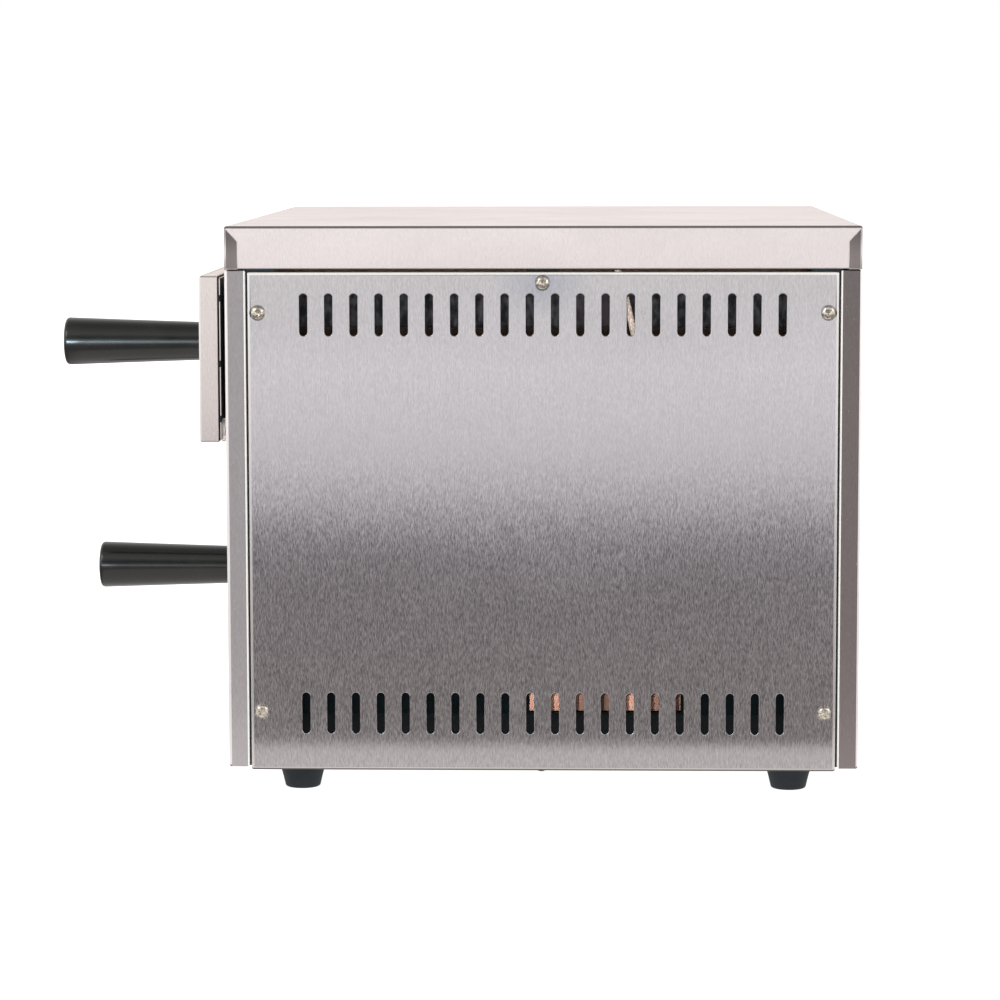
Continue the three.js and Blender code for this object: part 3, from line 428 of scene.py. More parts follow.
# The lower wool is a lighter copy of the wool, painted light, with the painted slot bands.
WOOL_LOWER_PAINTED_LIGHT = wool("mineral_wool_lower_painted_light", (0.98, 0.56, 0.42), (0.80, 0.40, 0.29), painted_slot_light)
# The side wool is a much darker copy of the wool: painted shade.
WOOL_SIDE_PAINTED_SHADE = wool("mineral_wool_side_painted_shade", (0.16, 0.10, 0.06), (0.06, 0.035, 0.02))


def fire_clay():
    s = Shade("baking_stone")
    grit = s.noise(420, detail=4, roughness=0.7)
    cloud = s.noise(16, detail=4, distortion=0.8)
    pits = s.voronoi(260)
    colour = s.mix(s.range(cloud, 0.35, 0.65, 0, 1), (0.62, 0.53, 0.40), (0.74, 0.67, 0.55))
    colour = s.mix(s.range(grit, 0.35, 0.75, 0, 0.5), colour, (0.36, 0.28, 0.20))
    relief = s.average((0.6, grit), (0.4, pits))
    return s.finish(colour, s.range(grit, 0, 1, 0.8, 0.97), relief, 0.6, 0.0004)


STONE = fire_clay()


def braid():
    """Woven glass-fibre sleeve: two sets of strands crossing at a slant."""
    s = Shade("glass_sleeve")
    one = s.noise((1500, 1500, 500), detail=1, turn=(0.9, 0, 0))
    two = s.noise((1500, 1500, 500), detail=1, turn=(-0.9, 0, 0))
    weave = s.math("MAXIMUM", one, two)
    colour = s.mix(s.range(weave, 0.4, 0.7, 0, 1), (0.40, 0.29, 0.235), (0.90, 0.76, 0.66))
    return s.finish(colour, s.range(weave, 0, 1, 0.7, 0.9), weave, 0.8, 0.0004)


SLEEVE = braid()


# ---- mesh helpers
def place_piece(name, bm, materials, body, replaced=(), sharp=35, weighted=False):
    """Turns a mesh drawn in millimetres into a piece of the model."""
    bmesh.ops.recalc_face_normals(bm, faces=bm.faces)
    bmesh.ops.scale(bm, vec=(MM, MM, MM), verts=bm.verts)
    mesh = bpy.data.meshes.new(name)
    for face in bm.faces:
        face.smooth = True
    bm.to_mesh(mesh)
    bm.free()
    mesh.set_sharp_from_angle(angle=math.radians(sharp))
    for material in materials if isinstance(materials, (list, tuple)) else [materials]:
        mesh.materials.append(material)
    piece = bpy.data.objects.new(name, mesh)
    scene.collection.objects.link(piece)
    if weighted:
        modifier = piece.modifiers.new("face_normals", "WEIGHTED_NORMAL")
        modifier.keep_sharp = True
    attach(piece, body)
    if replaced:
        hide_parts(*replaced)


def rounded(u, v, radius, steps=5):
    """A rectangle with round corners, as a function of how far it grows outwards."""
    def loop(grow=0.0):
        r = max(radius + grow, 0.05)
        shift = min(radius + grow - 0.05, 0)
        corners = [
            (u[1] - radius + shift, v[1] - radius + shift, 0),
            (u[0] + radius - shift, v[1] - radius + shift, 90),
            (u[0] + radius - shift, v[0] + radius - shift, 180),
            (u[1] - radius + shift, v[0] + radius - shift, 270),
        ]
        points = []
        for cu, cv, start in corners:
            for i in range(steps + 1):
                a = math.radians(start + 90 * i / steps)
                points.append((cu + r * math.cos(a), cv + r * math.sin(a)))
        return points
    return loop


def capsule(u, v, width, length, steps=9):
    reach = (length - width) / 2

    def loop(grow=0.0):
        r = width / 2 + grow
        points = []
        for sign, start in ((1, 0), (-1, 180)):
            for i in range(steps + 1):
                a = math.radians(start + 180 * i / steps)
                points.append((u + r * math.cos(a), v + sign * reach + r * math.sin(a)))
        return points
    return loop


def circle(u, v, radius, steps=32):
    def loop(grow=0.0):
        r = radius + grow
        turns = [2 * math.pi * i / steps for i in range(steps)]
        return [(u + r * math.cos(a), v + r * math.sin(a)) for a in turns]
    return loop


FACE, EDGE, SIDE = 0, 1, 2  # places in a folded sheet's list of materials
LANDS, CORNER, TURN = 3, 4, 5  # the front frame and the rear panel: strips beside the posts, their bends
# LIP and TURN faces take the near-white steel, a painted highlight.
LIP = 2  # a side panel's top bend
# The lid's top is in a lighter steel as painted light, its ears are near black as painted shade, and the
# dark line in its bend is a painted dark reflection.
LID_TOP, EAR, LINE = 2, 3, 4  # the lid: its top, the ears under it, the dark line in its bend
SUPPORT = 0.4  # flat strip beside each bend, so that flat faces shade flat


def arc(steps):
    """(sine, versine) of each angle of a quarter turn."""
    angles = [math.radians(90 * i / steps) for i in range(steps + 1)]
    return [(math.sin(a), 1 - math.cos(a)) for a in angles]


def bend(loop, radius, kind, steps=5):
    """Rings for a flat strip, and the bend from it into the flange."""
    rings = [(loop(-radius - SUPPORT), 0, FACE)]
    return rings + [(loop(-radius * (1 - out)), radius * back, kind) for out, back in arc(steps)]


def rolled_edge(loop, radius, flange, thickness, side, steps=5):
    """Rings for a sheet bent back all round: the bend, the flange, and its inner side."""
    return bend(loop, radius, EDGE, steps) + [
        (loop(0), flange - 0.25, side),
        (loop(-0.25), flange, EDGE),
        (loop(-thickness), flange, EDGE),
        (loop(-thickness), thickness, side),
    ]


def post_edge(loop, radius, turn=1.3, lip=5.2):
    """Rings for a sheet whose flange is a corner post, bent inwards again at its far side."""
    rings = bend(loop, radius, CORNER)
    for i, (out, back) in enumerate(arc(5)):
        rings.append((loop(-turn * back), POST - turn + turn * out, TURN if i else SIDE))
    return rings + [
        (loop(-lip), POST, EDGE),
        (loop(-lip), POST - SHEET, FACE),
        (loop(-SHEET - 0.4), POST - SHEET, FACE),
        (loop(-SHEET), SHEET, FACE),
    ]


def punched(loop, thickness, roll=0.4, kind=EDGE):
    """Rings for a hole with a slightly rolled rim."""
    rings = [(loop(roll + SUPPORT), 0, FACE)]
    for i in range(4):
        a = math.radians(30 * i)
        rings.append((loop(roll * (1 - math.sin(a))), roll * (1 - math.cos(a)), kind))
    rings.append((loop(0), thickness, EDGE))
    return rings


def bridge(bm, a, b, kind=0):
    """Faces between two rings with as many points each."""
    for i in range(len(a)):
        j = (i + 1) % len(a)
        bm.faces.new((a[i], a[j], b[j], b[i])).material_index = kind


def fill(bm, *rings):
    """Fills a flat outline, less its holes, with triangles."""
    edges = [bm.edges.get((a, b)) for ring in rings for a, b in zip(ring, [*ring[1:], ring[0]])]
    bmesh.ops.triangle_fill(bm, use_beauty=True, edges=edges)


def patch(bm, grid, kind=0):
    """Faces over a grid of points by (i, j); gives the grid's edge, point by point."""
    last_i, last_j = max(grid)
    for i in range(last_i):
        for j in range(last_j):
            ring = (grid[i, j], grid[i + 1, j], grid[i + 1, j + 1], grid[i, j + 1])
            bm.faces.new(ring).material_index = kind
    border = [(i, 0) for i in range(last_i)] + [(last_i, j) for j in range(last_j)]
    return border + [(i, last_j) for i in range(last_i, 0, -1)] + [(0, j) for j in range(last_j, 0, -1)]


def sheet(bm, place, outer, holes=()):
    """A closed sheet: the front and back faces are filled, and each border's rings join the two."""
    first, last = [], []
    for rings in (outer, *holes):
        made = []
        for points, depth, kind in rings:
            made.append(([bm.verts.new(place(u, v, depth)) for u, v in points], kind))
        for (a, _), (b, kind) in zip(made, made[1:]):
            bridge(bm, a, b, kind)
        first.append(made[0][0])
        last.append(made[-1][0])
    fill(bm, *first)
    fill(bm, *last)


def hoop(bm, centre, side, up, radius, steps):
    turns = [2 * math.pi * i / steps for i in range(steps)]
    return [bm.verts.new(centre + (side * math.cos(a) + up * math.sin(a)) * radius) for a in turns]


def lathe(bm, profile, axis, base, steps=48, kind=0):
    """A turned shape; profile is a list of (radius, height)."""
    axis = Vector(axis).normalized()
    side = Vector((0, 0, 1)) if abs(axis.z) < 0.5 else Vector((1, 0, 0))
    up = axis.cross(side)
    rings = []
    for radius, height in profile:
        centre = Vector(base) + axis * height
        rings.append(hoop(bm, centre, side, up, radius, steps) if radius else [bm.verts.new(centre)])
    for a, b in zip(rings, rings[1:]):
        if len(a) == len(b) > 1:
            bridge(bm, a, b, kind)
        elif len(a) != len(b):
            tip, ring = (a[0], b[::-1]) if len(a) == 1 else (b[0], a)
            for one, other in zip(ring, [*ring[1:], ring[0]]):
                bm.faces.new((one, other, tip)).material_index = kind


def soft_box(bm, ranges, radius, step, rough=0.0, seed=0.0, kind=0):
    """A box with round edges on a lattice, its faces moved in and out by up to `rough`."""
    lines = []
    for low, high in ranges:
        inner = max(int((high - low - 2 * radius) / step), 1)
        core = [low + radius + (high - low - 2 * radius) * i / inner for i in range(inner + 1)]
        lines.append([low, low + radius * 0.35, *core, high - radius * 0.35, high])
    size = [len(line) - 1 for line in lines]
    corners = {}

    def corner(*index):
        if index not in corners:
            at = Vector([lines[k][index[k]] for k in range(3)])
            core = Vector([min(max(at[k], ranges[k][0] + radius), ranges[k][1] - radius) for k in range(3)])
            out = at - core
            if out.length > 1e-6:
                out.normalize()
                wobble = noise.noise(at / 21 + Vector((seed, 0, 0))) + 0.5 * noise.noise(at / 7)
                at = core + out * radius - out * rough * (0.75 + wobble * 0.5)
            corners[index] = bm.verts.new(at)
        return corners[index]

    for k in range(3):
        a, b = (k + 1) % 3, (k + 2) % 3
        for end in (0, size[k]):
            for i in range(size[a]):
                for j in range(size[b]):
                    ring = []
                    for di, dj in ((0, 0), (1, 0), (1, 1), (0, 1)):
                        index = [0, 0, 0]
                        index[k], index[a], index[b] = end, i + di, j + dj
                        ring.append(corner(*index))
                    bm.faces.new(ring).material_index = kind


def block(bm, x, y, z, kind=0):
    """A plain box, for parts that stay out of sight or are only a millimetre or so."""
    corners = [bm.verts.new((a, b, c)) for a in x for b in y for c in z]
    for ring in ((0, 1, 3, 2), (4, 6, 7, 5), (0, 4, 5, 1), (2, 3, 7, 6), (0, 2, 6, 4), (1, 5, 7, 3)):
        bm.faces.new([corners[i] for i in ring]).material_index = kind


def route(corners, radius, steps=10):
    """A line through chosen corners, with each corner rounded."""
    corners = [Vector(c) for c in corners]
    points = [corners[0]]
    for before, corner, after in zip(corners, corners[1:], corners[2:]):
        reach = min(radius, (before - corner).length / 2.1, (after - corner).length / 2.1)
        enter = corner + (before - corner).normalized() * reach
        leave = corner + (after - corner).normalized() * reach
        for i in range(steps + 1):
            t = i / steps
            points.append(enter * (1 - t) ** 2 + corner * 2 * t * (1 - t) + leave * t * t)
    points.append(corners[-1])
    return points


def tube(bm, points, radius, sides=16):
    """A round tube along a line of points, closed at both ends."""
    side = None
    rings = []
    for i, at in enumerate(points):
        along = (points[min(i + 1, len(points) - 1)] - points[max(i - 1, 0)]).normalized()
        if side is None:
            side = along.orthogonal().normalized()
        side = (side - along * side.dot(along)).normalized()
        rings.append(hoop(bm, at, side, along.cross(side), radius, sides))
    for a, b in zip(rings, rings[1:]):
        bridge(bm, a, b)
    for ring in (rings[0], rings[-1]):
        bm.faces.new(ring)


def dress(node, material, bevel=0.0, segments=2):
    """Gives a CAD node that stays in view its material, and softens its edges."""
    piece = frame["nodes"][node]
    for place in piece.material_slots:
        place.material = material
    if bevel:
        modifier = piece.modifiers.new("edges", "BEVEL")
        modifier.width = bevel * MM
        modifier.segments = segments
        modifier.limit_method = "ANGLE"
        modifier.angle_limit = math.radians(40)


# ---- casing: fascia, rear panel, base
POST_Z = (FASCIA_Z[0], FASCIA_Z[1] - 0.8)


def end_sheet(name, node, face, inward, radius, holes, post_steel):
    """The front frame or the rear panel, whose side flanges are the corner posts.

    Strips behind the side panels' edges are set back and coloured dark as painted shade, so that the gap
    beside a post reads dark.
    """
    bm = bmesh.new()
    outline = rounded(FASCIA_X, POST_Z, 0.8, 3)
    sheet(bm, lambda u, v, d: (u, face + inward * d, v), post_edge(outline, radius), holes)
    depth = sorted((face + inward * (POST - 0.8), face + inward * 36))
    for sign in (1, -1):
        strip = sorted((sign * (PANEL_FACE - 6.8), sign * (PANEL_FACE - 5.8)))
        block(bm, strip, depth, (FASCIA_Z[0] + 0.2, FASCIA_Z[1] - 0.2), LANDS)
    materials = [STEEL_FRAME, STEEL_EDGE, post_steel, BASE_PAINTED_SHADE, STEEL_CORNER, STEEL_LIP_PAINTED_HIGHLIGHT]
    place_piece(name, bm, materials, "casing", [node], weighted=True)


def opening(x, z, margin_x, margin_z, corner=2):
    """A rectangular hole in the front frame, larger all round by the margins."""
    u, v = (x[0] - margin_x, x[1] + margin_x), (z[0] - margin_z, z[1] + margin_z)
    return punched(rounded(u, v, corner), SHEET)


def front_frame():
    housing_x, _, housing_z = span("power_switch_housing")
    holes = [
        opening(CHAMBER_X, CHAMBER_Z, -THIN, -THIN),
        opening(DRAWER_X, DRAWER_Z, 1.5, 1),
        opening(housing_x, housing_z, -2, -2, 1),
    ]
    for node in ("thermostat_knob_upper", "thermostat_knob_lower", "timer_knob"):
        holes.append(punched(circle(*middle(node), 5), SHEET))
    for node in ("indicator_lamp_upper", "indicator_lamp_lower"):
        holes.append(punched(circle(*middle(node), 4.2), SHEET))
    end_sheet("casing_fascia", "front_frame", FRONT, 1, 2.2, holes, STEEL_FRONT_POST_PAINTED_LIGHT)


def rear_panel():
    x, z = middle("cable_gland")
    holes = [punched(circle(x, z, 8.4), SHEET)]
    for i in range(6):
        slot = capsule(x - 45 + i * SLOT_PITCH, SLOT_ROWS[1] - 20, SLOT_WIDTH, SLOT_LENGTH)
        holes.append(punched(slot, SHEET))
    end_sheet("casing_back", "rear_panel", BACK, -1, 1.6, holes, STEEL_REAR_POST_PAINTED_SHADE)


def base():
    bm = bmesh.new()
    _, y, z = span("base_pan")
    outline = rounded((-277, 277), y, 1.5, 3)
    sheet(bm, lambda u, v, d: (u, v, z[0] + d), rolled_edge(outline, 1.6, z[1] - z[0], SHEET, FACE))
    # the base pan is coloured dark teal as painted shade
    place_piece("casing_base", bm, [BASE_PAINTED_SHADE] * 2, "casing", ["base_pan"], weighted=True)


front_frame()
rear_panel()
base()


# ---- casing: side panels and screws
SCREW_TURNS = {1: 0.5, 2: 1.1, 3: 0.2, 4: 0.9, 5: 0.35}


SCREW_DISH = [(6.0, 0), (5.6, 0), (5.3, 0.05), (4.9, 0.2), (4.4, 0.28), (2.4, 0.3), (2.2, 0.5), (2.2, THIN)]
PANEL_BEND = 1.7


def side_panel(name, sign):
    bm = bmesh.new()
    holes = []
    for row in SLOT_ROWS:
        for i in range(SLOT_COUNT):
            y = MIDDLE + (i - (SLOT_COUNT - 1) / 2) * SLOT_PITCH
            holes.append(punched(capsule(y, row, SLOT_WIDTH, SLOT_LENGTH), THIN, 0.5, FACE))
    for number in SCREW_TURNS:
        spot = middle(f"side_screw_right_{number}", 1)
        holes.append([(circle(*spot, radius)(0), depth, FACE) for radius, depth in SCREW_DISH])
    edge = rolled_edge(rounded(PANEL_Y, PANEL_Z, 1.4, 4), PANEL_BEND, 5.0, THIN, FACE)
    sheet(bm, lambda u, v, d: (sign * (PANEL_FACE - d), u, v), edge, holes)
    clip = [(0, 1.5), (1.6, 1.35), (3.0, 0.8), (3.7, 0), (3.7, -0.6), (0, -0.6)]
    lathe(bm, clip, (0, 0, -1), (sign * (PANEL_FACE - 6.5), MIDDLE - 1, PANEL_Z[0]), 24, EDGE)
    # the top bend takes the near-white steel, a painted highlight
    for face in bm.faces:
        if face.material_index == EDGE and face.calc_center_median().z > PANEL_Z[1] - PANEL_BEND:
            face.material_index = LIP
    materials = [STEEL_PANEL, STEEL_RIM, STEEL_LIP_PAINTED_HIGHLIGHT]
    node = f"side_panel_{name}"
    place_piece(f"{node}_sheet", bm, materials, "casing", [node], weighted=True)


side_panel("right", 1)
side_panel("left", -1)

HEAD_LINES = [0, 0.09, 0.13, 0.24, 0.36, 0.48, 0.53, 0.64, 0.74, 0.84, 0.93, 1.0]
HEAD_RADIUS, HEAD_HEIGHT = 5.0, 2.95
ARM_HALF, ARM_REACH = 0.13, 0.53  # the cross recess, as shares of the head's radius


def screw_head(name, sign, number, turn):
    """A pan head with a cross recess, on a square grid bent into a disc."""
    bm = bmesh.new()
    y, z = middle(f"side_screw_right_{number}", 1)
    base_x = PANEL_FACE - 0.25
    lines = [-k for k in reversed(HEAD_LINES[1:])] + HEAD_LINES
    cos, sin = math.cos(turn), math.sin(turn)
    spots = {}
    for i, u in enumerate(lines):
        for j, v in enumerate(lines):
            a = u * math.sqrt(1 - v * v / 2)
            b = v * math.sqrt(1 - u * u / 2)
            r = min(math.hypot(a, b), 1.0)
            up = HEAD_HEIGHT * math.sqrt(1 - r ** 2.6) ** 0.9
            inner, outer = sorted((abs(u), abs(v)))
            if inner < ARM_HALF and outer < ARM_REACH:
                up -= 0.7 + 1.4 * (1 - outer / ARM_REACH)
            aside, above = HEAD_RADIUS * (a * cos - b * sin), HEAD_RADIUS * (a * sin + b * cos)
            spots[i, j] = bm.verts.new((sign * (base_x + up), y + aside, z + above))
    rim = [spots[k] for k in patch(bm, spots)]
    foot = [bm.verts.new((sign * (base_x - 0.3), v.co.y, v.co.z)) for v in rim]
    bridge(bm, rim, foot)
    bm.faces.new(foot)
    shank = [(0, 0), (1.9, 0), (1.9, 6.4), (0.4, 8), (0, 8)]
    lathe(bm, shank, (-sign, 0, 0), (sign * (base_x - 0.2), y, z), 20)
    place_piece(f"{name}_head", bm, NICKEL, "casing", [name], sharp=40)


for number, turn in SCREW_TURNS.items():
    screw_head(f"side_screw_right_{number}", 1, number, turn)
    screw_head(f"side_screw_left_{number}", -1, number, -turn)


# ---- casing: lid
TAB = 9.9


def lid():
    """A slightly crowned top on a grid, with its bend and skirt as rings round the grid's edge."""
    bm = bmesh.new()
    half, deep = LID_X[1] - 0.7, (LID_Y[1] - LID_Y[0]) / 2
    crown, radius, ears_foot = 1.6, 1.9, 362
    top = LID_Z[1] - crown

    def lines(reach, count, near=1.5, next_in=6):
        inner = reach - next_in
        core = [-inner + 2 * inner * i / count for i in range(count + 1)]
        return [-reach, -reach + near, *core, reach - near, reach]

    xs, ys = lines(half - radius, 14), lines(deep - radius, 12)
    last_x, last_y = len(xs) - 1, len(ys) - 1
    grid = {}
    for i, x in enumerate(xs):
        for j, y in enumerate(ys):
            pull = 0.4 if i in (0, last_x) and j in (0, last_y) else 0.0
            up = crown * (1 - (x / half) ** 2) * (1 - (y / deep) ** 2)
            spot = (x - math.copysign(pull, x), MIDDLE + y - math.copysign(pull, y), top + up)
            grid[i, j] = bm.verts.new(spot)
    border = patch(bm, grid, LID_TOP)
    skirt = top - LID_Z[0]
    steps = []
    for angle in range(15, 91, 15):
        turn = math.radians(angle)
        # the middle of the bend takes the darker steel, a painted dark reflection
        kind = LINE if 45 <= angle <= 75 else FACE
        steps.append((radius * math.sin(turn), radius * (1 - math.cos(turn)), kind))
    steps += [
        (radius, skirt - 1.0, FACE), (radius - 0.3, skirt - 0.2, EDGE), (radius - 0.8, skirt, EDGE),
        (radius - SHEET, skirt - 0.3, EDGE), (radius - SHEET, 2.4, FACE),
    ]
    ring = [grid[k] for k in border]
    for out, down, kind in steps:
        before, ring = ring, []
        for i, j in border:
            at = grid[i, j].co
            dx, dy = (i == last_x) - (i == 0), (j == last_y) - (j == 0)
            ring.append(bm.verts.new((at.x + out * dx, at.y + out * dy, top - down)))
        bridge(bm, before, ring, kind)
    fill(bm, ring)
    for sign in (1, -1):
        x = sorted((sign * (PANEL_FACE - 3.2), sign * (PANEL_FACE - 4.4)))
        # the ears are near black as painted shade
        block(bm, x, (MIDDLE - 12, MIDDLE + 12), (ears_foot, LID_Z[0] + 3), EAR)
    materials = [STEEL_LID, STEEL_EDGE, STEEL_LID_TOP_PAINTED_LIGHT, EAR_PAINTED_SHADE, STEEL_LID_BEND_PAINTED_REFLECTION]
    place_piece("lid_cover", bm, materials, "casing", ["top_cover"], weighted=True)


def lid_tabs():
    """At each corner the front or back skirt wraps on to the side as a narrow, mitred tab."""
    bm = bmesh.new()
    top = LID_Z[1] - 2.4
    for sign in (1, -1):
        for edge, inward in ((LID_Y[0] + 0.15, 1), (LID_Y[1] - 0.15, -1)):
            def loop(grow, edge=edge, inward=inward):
                far = edge + inward * (TAB + grow)
                near = edge - inward * grow * 4
                low = LID_Z[0] - 0.35 - grow * 2
                return [(near, low), (far, low), (far, top - TAB + grow), (near, top - 0.2 + 4.6 * grow)]
            rings = [(loop(-0.4), 0, EDGE), (loop(-0.2), 0.08, EDGE), (loop(-0.06), 0.22, EDGE),
                     (loop(0), 0.5, EDGE), (loop(0), 0.95, EDGE)]
            sheet(bm, lambda u, v, d, sign=sign: (sign * (LID_X[1] - d), u, v), rings)
    place_piece("lid_corner_tabs", bm, [STEEL_LID_TAB_PAINTED_SHADE, STEEL_EDGE], "casing")


lid()
lid_tabs()


# ---- feet and handles
def foot(name):
    bm = bmesh.new()
    at = (*middle(name, 0, 1), 0)
    top = span(name)[2][1]
    rubber = [
        (0, 3.0), (4.6, 3.0), (5.2, 1.0), (8.8, 0.7), (10.6, 0.0), (11.7, 0.0), (12.4, 0.35), (12.9, 1.2),
        (14.5, 8.0), (16.5, 15.5), (17.2, 18.5), (17.5, top - 1.0), (17.2, top - 0.3), (16.5, top),
        (0, top),
    ]
    lathe(bm, rubber, (0, 0, 1), at, 56)
    lathe(bm, [(0, 2.6), (2.2, 2.7), (3.6, 3.4), (4.0, 4.4), (0, 4.4)], (0, 0, 1), at, 24, 1)
    place_piece(f"{name}_rubber", bm, [RUBBER, NICKEL], "casing", [name], sharp=50)


for end in ("front", "rear"):
    for side in ("right", "left"):
        foot(f"foot_{end}_{side}")


def handle(node, body):
    """A moulded stick that grows towards its free end, with a round shoulder and a shallow dome."""
    bm = bmesh.new()
    x, z = middle(node)
    tip_y, base_y = span(node)[1]
    length = base_y - tip_y
    neck, end = 14.35, 18.35
    profile = [(0, 0), (13.7, 0), (14.25, 0.5)]
    for i in range(13):
        share = i / 12
        profile.append((neck + (end - neck) * share ** 1.12, 1.5 + (length - 6.2) * share))
    for out, back in arc(8)[1:]:
        profile.append((end - 3.1 * back, length - 4.2 + 3.0 * out))
    profile += [(13.0, length - 0.75), (9.5, length - 0.35), (5.0, length - 0.1), (0, length)]
    lathe(bm, profile, (0, -1, 0), (x, base_y, z), 72)
    place_piece(f"{node}_grip", bm, BAKELITE, body, [node], sharp=60)


handle("door_handle", "door")
handle("drawer_handle", "drawer")


# ---- door and drawer front
def pan(name, node, body):
    bm = bmesh.new()
    x, y, z = span(node)
    rings = rolled_edge(rounded(x, z, 1.2, 4), 1.6, y[1] - y[0], THIN, FACE, 6)
    sheet(bm, lambda u, v, d: (u, y[0] + d, v), rings)
    place_piece(name, bm, [STEEL_DOOR, STEEL_EDGE], body, [node], weighted=True)


pan("door_outer_pan", "door_pan", "door")
pan("drawer_outer_pan", "drawer_front", "drawer")
HINGE_Y, HINGE_Z = FRONT - 3.2, 258
HINGE_REACH = 2.8
HINGE_MIRROR = middle("door_pan")[0]


def door_back():
    """The door's inner skin on dark spacer pads, with an eye for the hinge pin at each bottom corner."""
    bm = bmesh.new()
    x, _, z = span("door_inner_plate")
    face, behind = FRONT - 5.2, FRONT - 4.2
    edge = rolled_edge(rounded(x, (z[0] + 2.0, z[1]), 1.0, 3), 0.35, THIN + 0.02, THIN, EDGE, 3)
    holes = []
    for sign in (1, -1):
        notch = sorted((HINGE_MIRROR + sign * k for k in (262.8 - HINGE_MIRROR, 194.2)))
        holes.append(punched(rounded(notch, (z[0] + 3.2, 267), 0.5, 2), THIN, 0.2))
        eye_x = HINGE_MIRROR + sign * (261 - HINGE_MIRROR)
        eye = [(1.9, 0), (2.9, 0), (2.9, 1.2), (1.9, 1.2), (1.9, 0)]
        lathe(bm, eye, (sign, 0, 0), (eye_x, HINGE_Y, HINGE_Z), 28, EDGE)
        web = sorted((eye_x + sign * 0.05, eye_x + sign * 1.15))
        block(bm, web, (face + 0.1, HINGE_Y), (HINGE_Z + 2.2, HINGE_Z + 9), EDGE)
        pad_x = sorted((HINGE_MIRROR + sign * k for k in (192.5, 195.6)))
        for height in (272.2, 312, 359.1):
            pad = [pad_x, (FRONT - 6.6, behind + 0.1), (height - 2.6, height + 2.6)]
            soft_box(bm, pad, 0.5, 3, kind=SIDE)
    sheet(bm, lambda u, v, d: (u, behind - d, v), edge, holes)
    materials = [ZINC, STEEL_EDGE, RUBBER]
    place_piece("door_inner_skin", bm, materials, "door", ["door_inner_plate"], weighted=True)


def hinge(side, sign):
    """A bracket on the fascia, rounded under the pin and cut on a slant below."""
    bm = bmesh.new()
    turns = [math.radians(a) for a in range(180, 281, 10)]
    points = [(HINGE_REACH * math.cos(a), HINGE_REACH * math.sin(a)) for a in turns]
    points += [(2.9, 0.6), (2.9, 14), (-0.6, 14), (-HINGE_REACH, 7)]
    outline = [(HINGE_Y + u, HINGE_Z + v) for u, v in points]
    core = [sum(values) / len(outline) for values in zip(*outline)]

    def shrunk(k):
        return [(u + (core[0] - u) * k, v + (core[1] - v) * k) for u, v in outline]

    rings = [(shrunk(k), depth, EDGE) for k, depth in ((0.05, 0), (0, 0.25), (0, 1.75), (0.05, 2))]
    far = HINGE_MIRROR + sign * (266 - HINGE_MIRROR)
    sheet(bm, lambda u, v, d: (far - sign * d, u, v), rings)
    foot_x = sorted(HINGE_MIRROR + sign * (k - HINGE_MIRROR) for k in (258, 270))
    soft_box(bm, [foot_x, (FRONT - 1.8, FRONT - 0.3), (HINGE_Z + 3.4, HINGE_Z + 15)], 0.4, 4)
    node = f"hinge_bracket_{side}"
    place_piece(f"{node}_plate", bm, [STEEL_DOOR, STEEL_EDGE], "casing", [node], sharp=40)


door_back()
for side, sign in (("right", 1), ("left", -1)):
    hinge(side, sign)
    dress(f"hinge_pin_{side}", NICKEL, 0.15)


# ---- insulation
def batt(name, node, body, material, boxes=None, radius=2.2, step=9, rough=0.8):
    bm = bmesh.new()
    for seed, ranges in enumerate(boxes or [span(node)]):
        soft_box(bm, ranges, radius, step, rough, seed * 3.7)
    place_piece(name, bm, material, body, [node], sharp=80)


def side_batts():
    (x0, x1), (y0, y1), (z0, z1) = span("chamber_side_insulation")
    thick = 12.7
    cut = (MIDDLE + 67.5, MIDDLE + 133)
    back = (y1 - thick, y1)
    long = (y0, y1 - thick - 0.3)
    return [
        [(x0, x0 + thick), long, (z0, z1)],
        [(x0, x1), back, (z0, z1)],
        [(x1 - thick, x1), (y0, cut[0]), (z0, z1)],
        [(x1 - thick, x1), (cut[0] + 0.3, cut[1] - 0.3), (285, z1)],
        [(x1 - thick, x1), (cut[1], long[1]), (z0, z1)],
    ]


batt("wool_chamber_sides", "chamber_side_insulation", "casing", WOOL_SIDE_PAINTED_SHADE, side_batts())
batt("wool_chamber_top", "chamber_top_insulation", "casing", WOOL, radius=4)
batt("wool_deck", "deck_insulation", "casing", WOOL, radius=4)
batt("wool_lower", "lower_insulation", "casing", WOOL_LOWER_PAINTED_LIGHT, radius=2.0, rough=0.5)
batt("wool_door", "door_insulation", "door", WOOL, radius=2.5, rough=0.6)
batt("wool_drawer", "drawer_insulation", "drawer", WOOL, radius=2.5, rough=0.6)


# ---- chambers, drawer body, heating elements
for node, material, edge in (
    ("upper_chamber_liner", LINER_UPPER, 0.2), ("drawer_chamber_liner", LINER, 0.2),
    ("drawer_back_plate", LINER, 0.3), ("drawer_pan", LINER, 0.4), ("bay_partition", ZINC, 0.3),
    ("insulation_tray", ZINC_TRAY, 0.2), ("drawer_rail_right", ZINC, 0.2), ("drawer_rail_left", ZINC, 0.2),
):
    dress(node, material, edge)
dress("baking_stone", STONE, 1.6, 3)

ELEMENT_RADIUS = 3.2
DOOR_MIDDLE = sum(CHAMBER_X) / 2
FLOOR_Y = (MIDDLE + 79.5, MIDDLE + 121)


def heater(name, node, corners, bend):
    bm = bmesh.new()
    points = route(corners, bend)
    tube(bm, points, ELEMENT_RADIUS, 18)
    for end, inner in ((points[0], points[1]), (points[-1], points[-2])):
        way = (end - inner).normalized()
        collar = [(0, -1.5), (ELEMENT_RADIUS + 0.7, -1.5), (ELEMENT_RADIUS + 0.7, -0.2), (0, 0)]
        lathe(bm, collar, way, end, 20, 1)
    place_piece(name, bm, [ELEMENT, CERAMIC], "casing", [node], sharp=50)


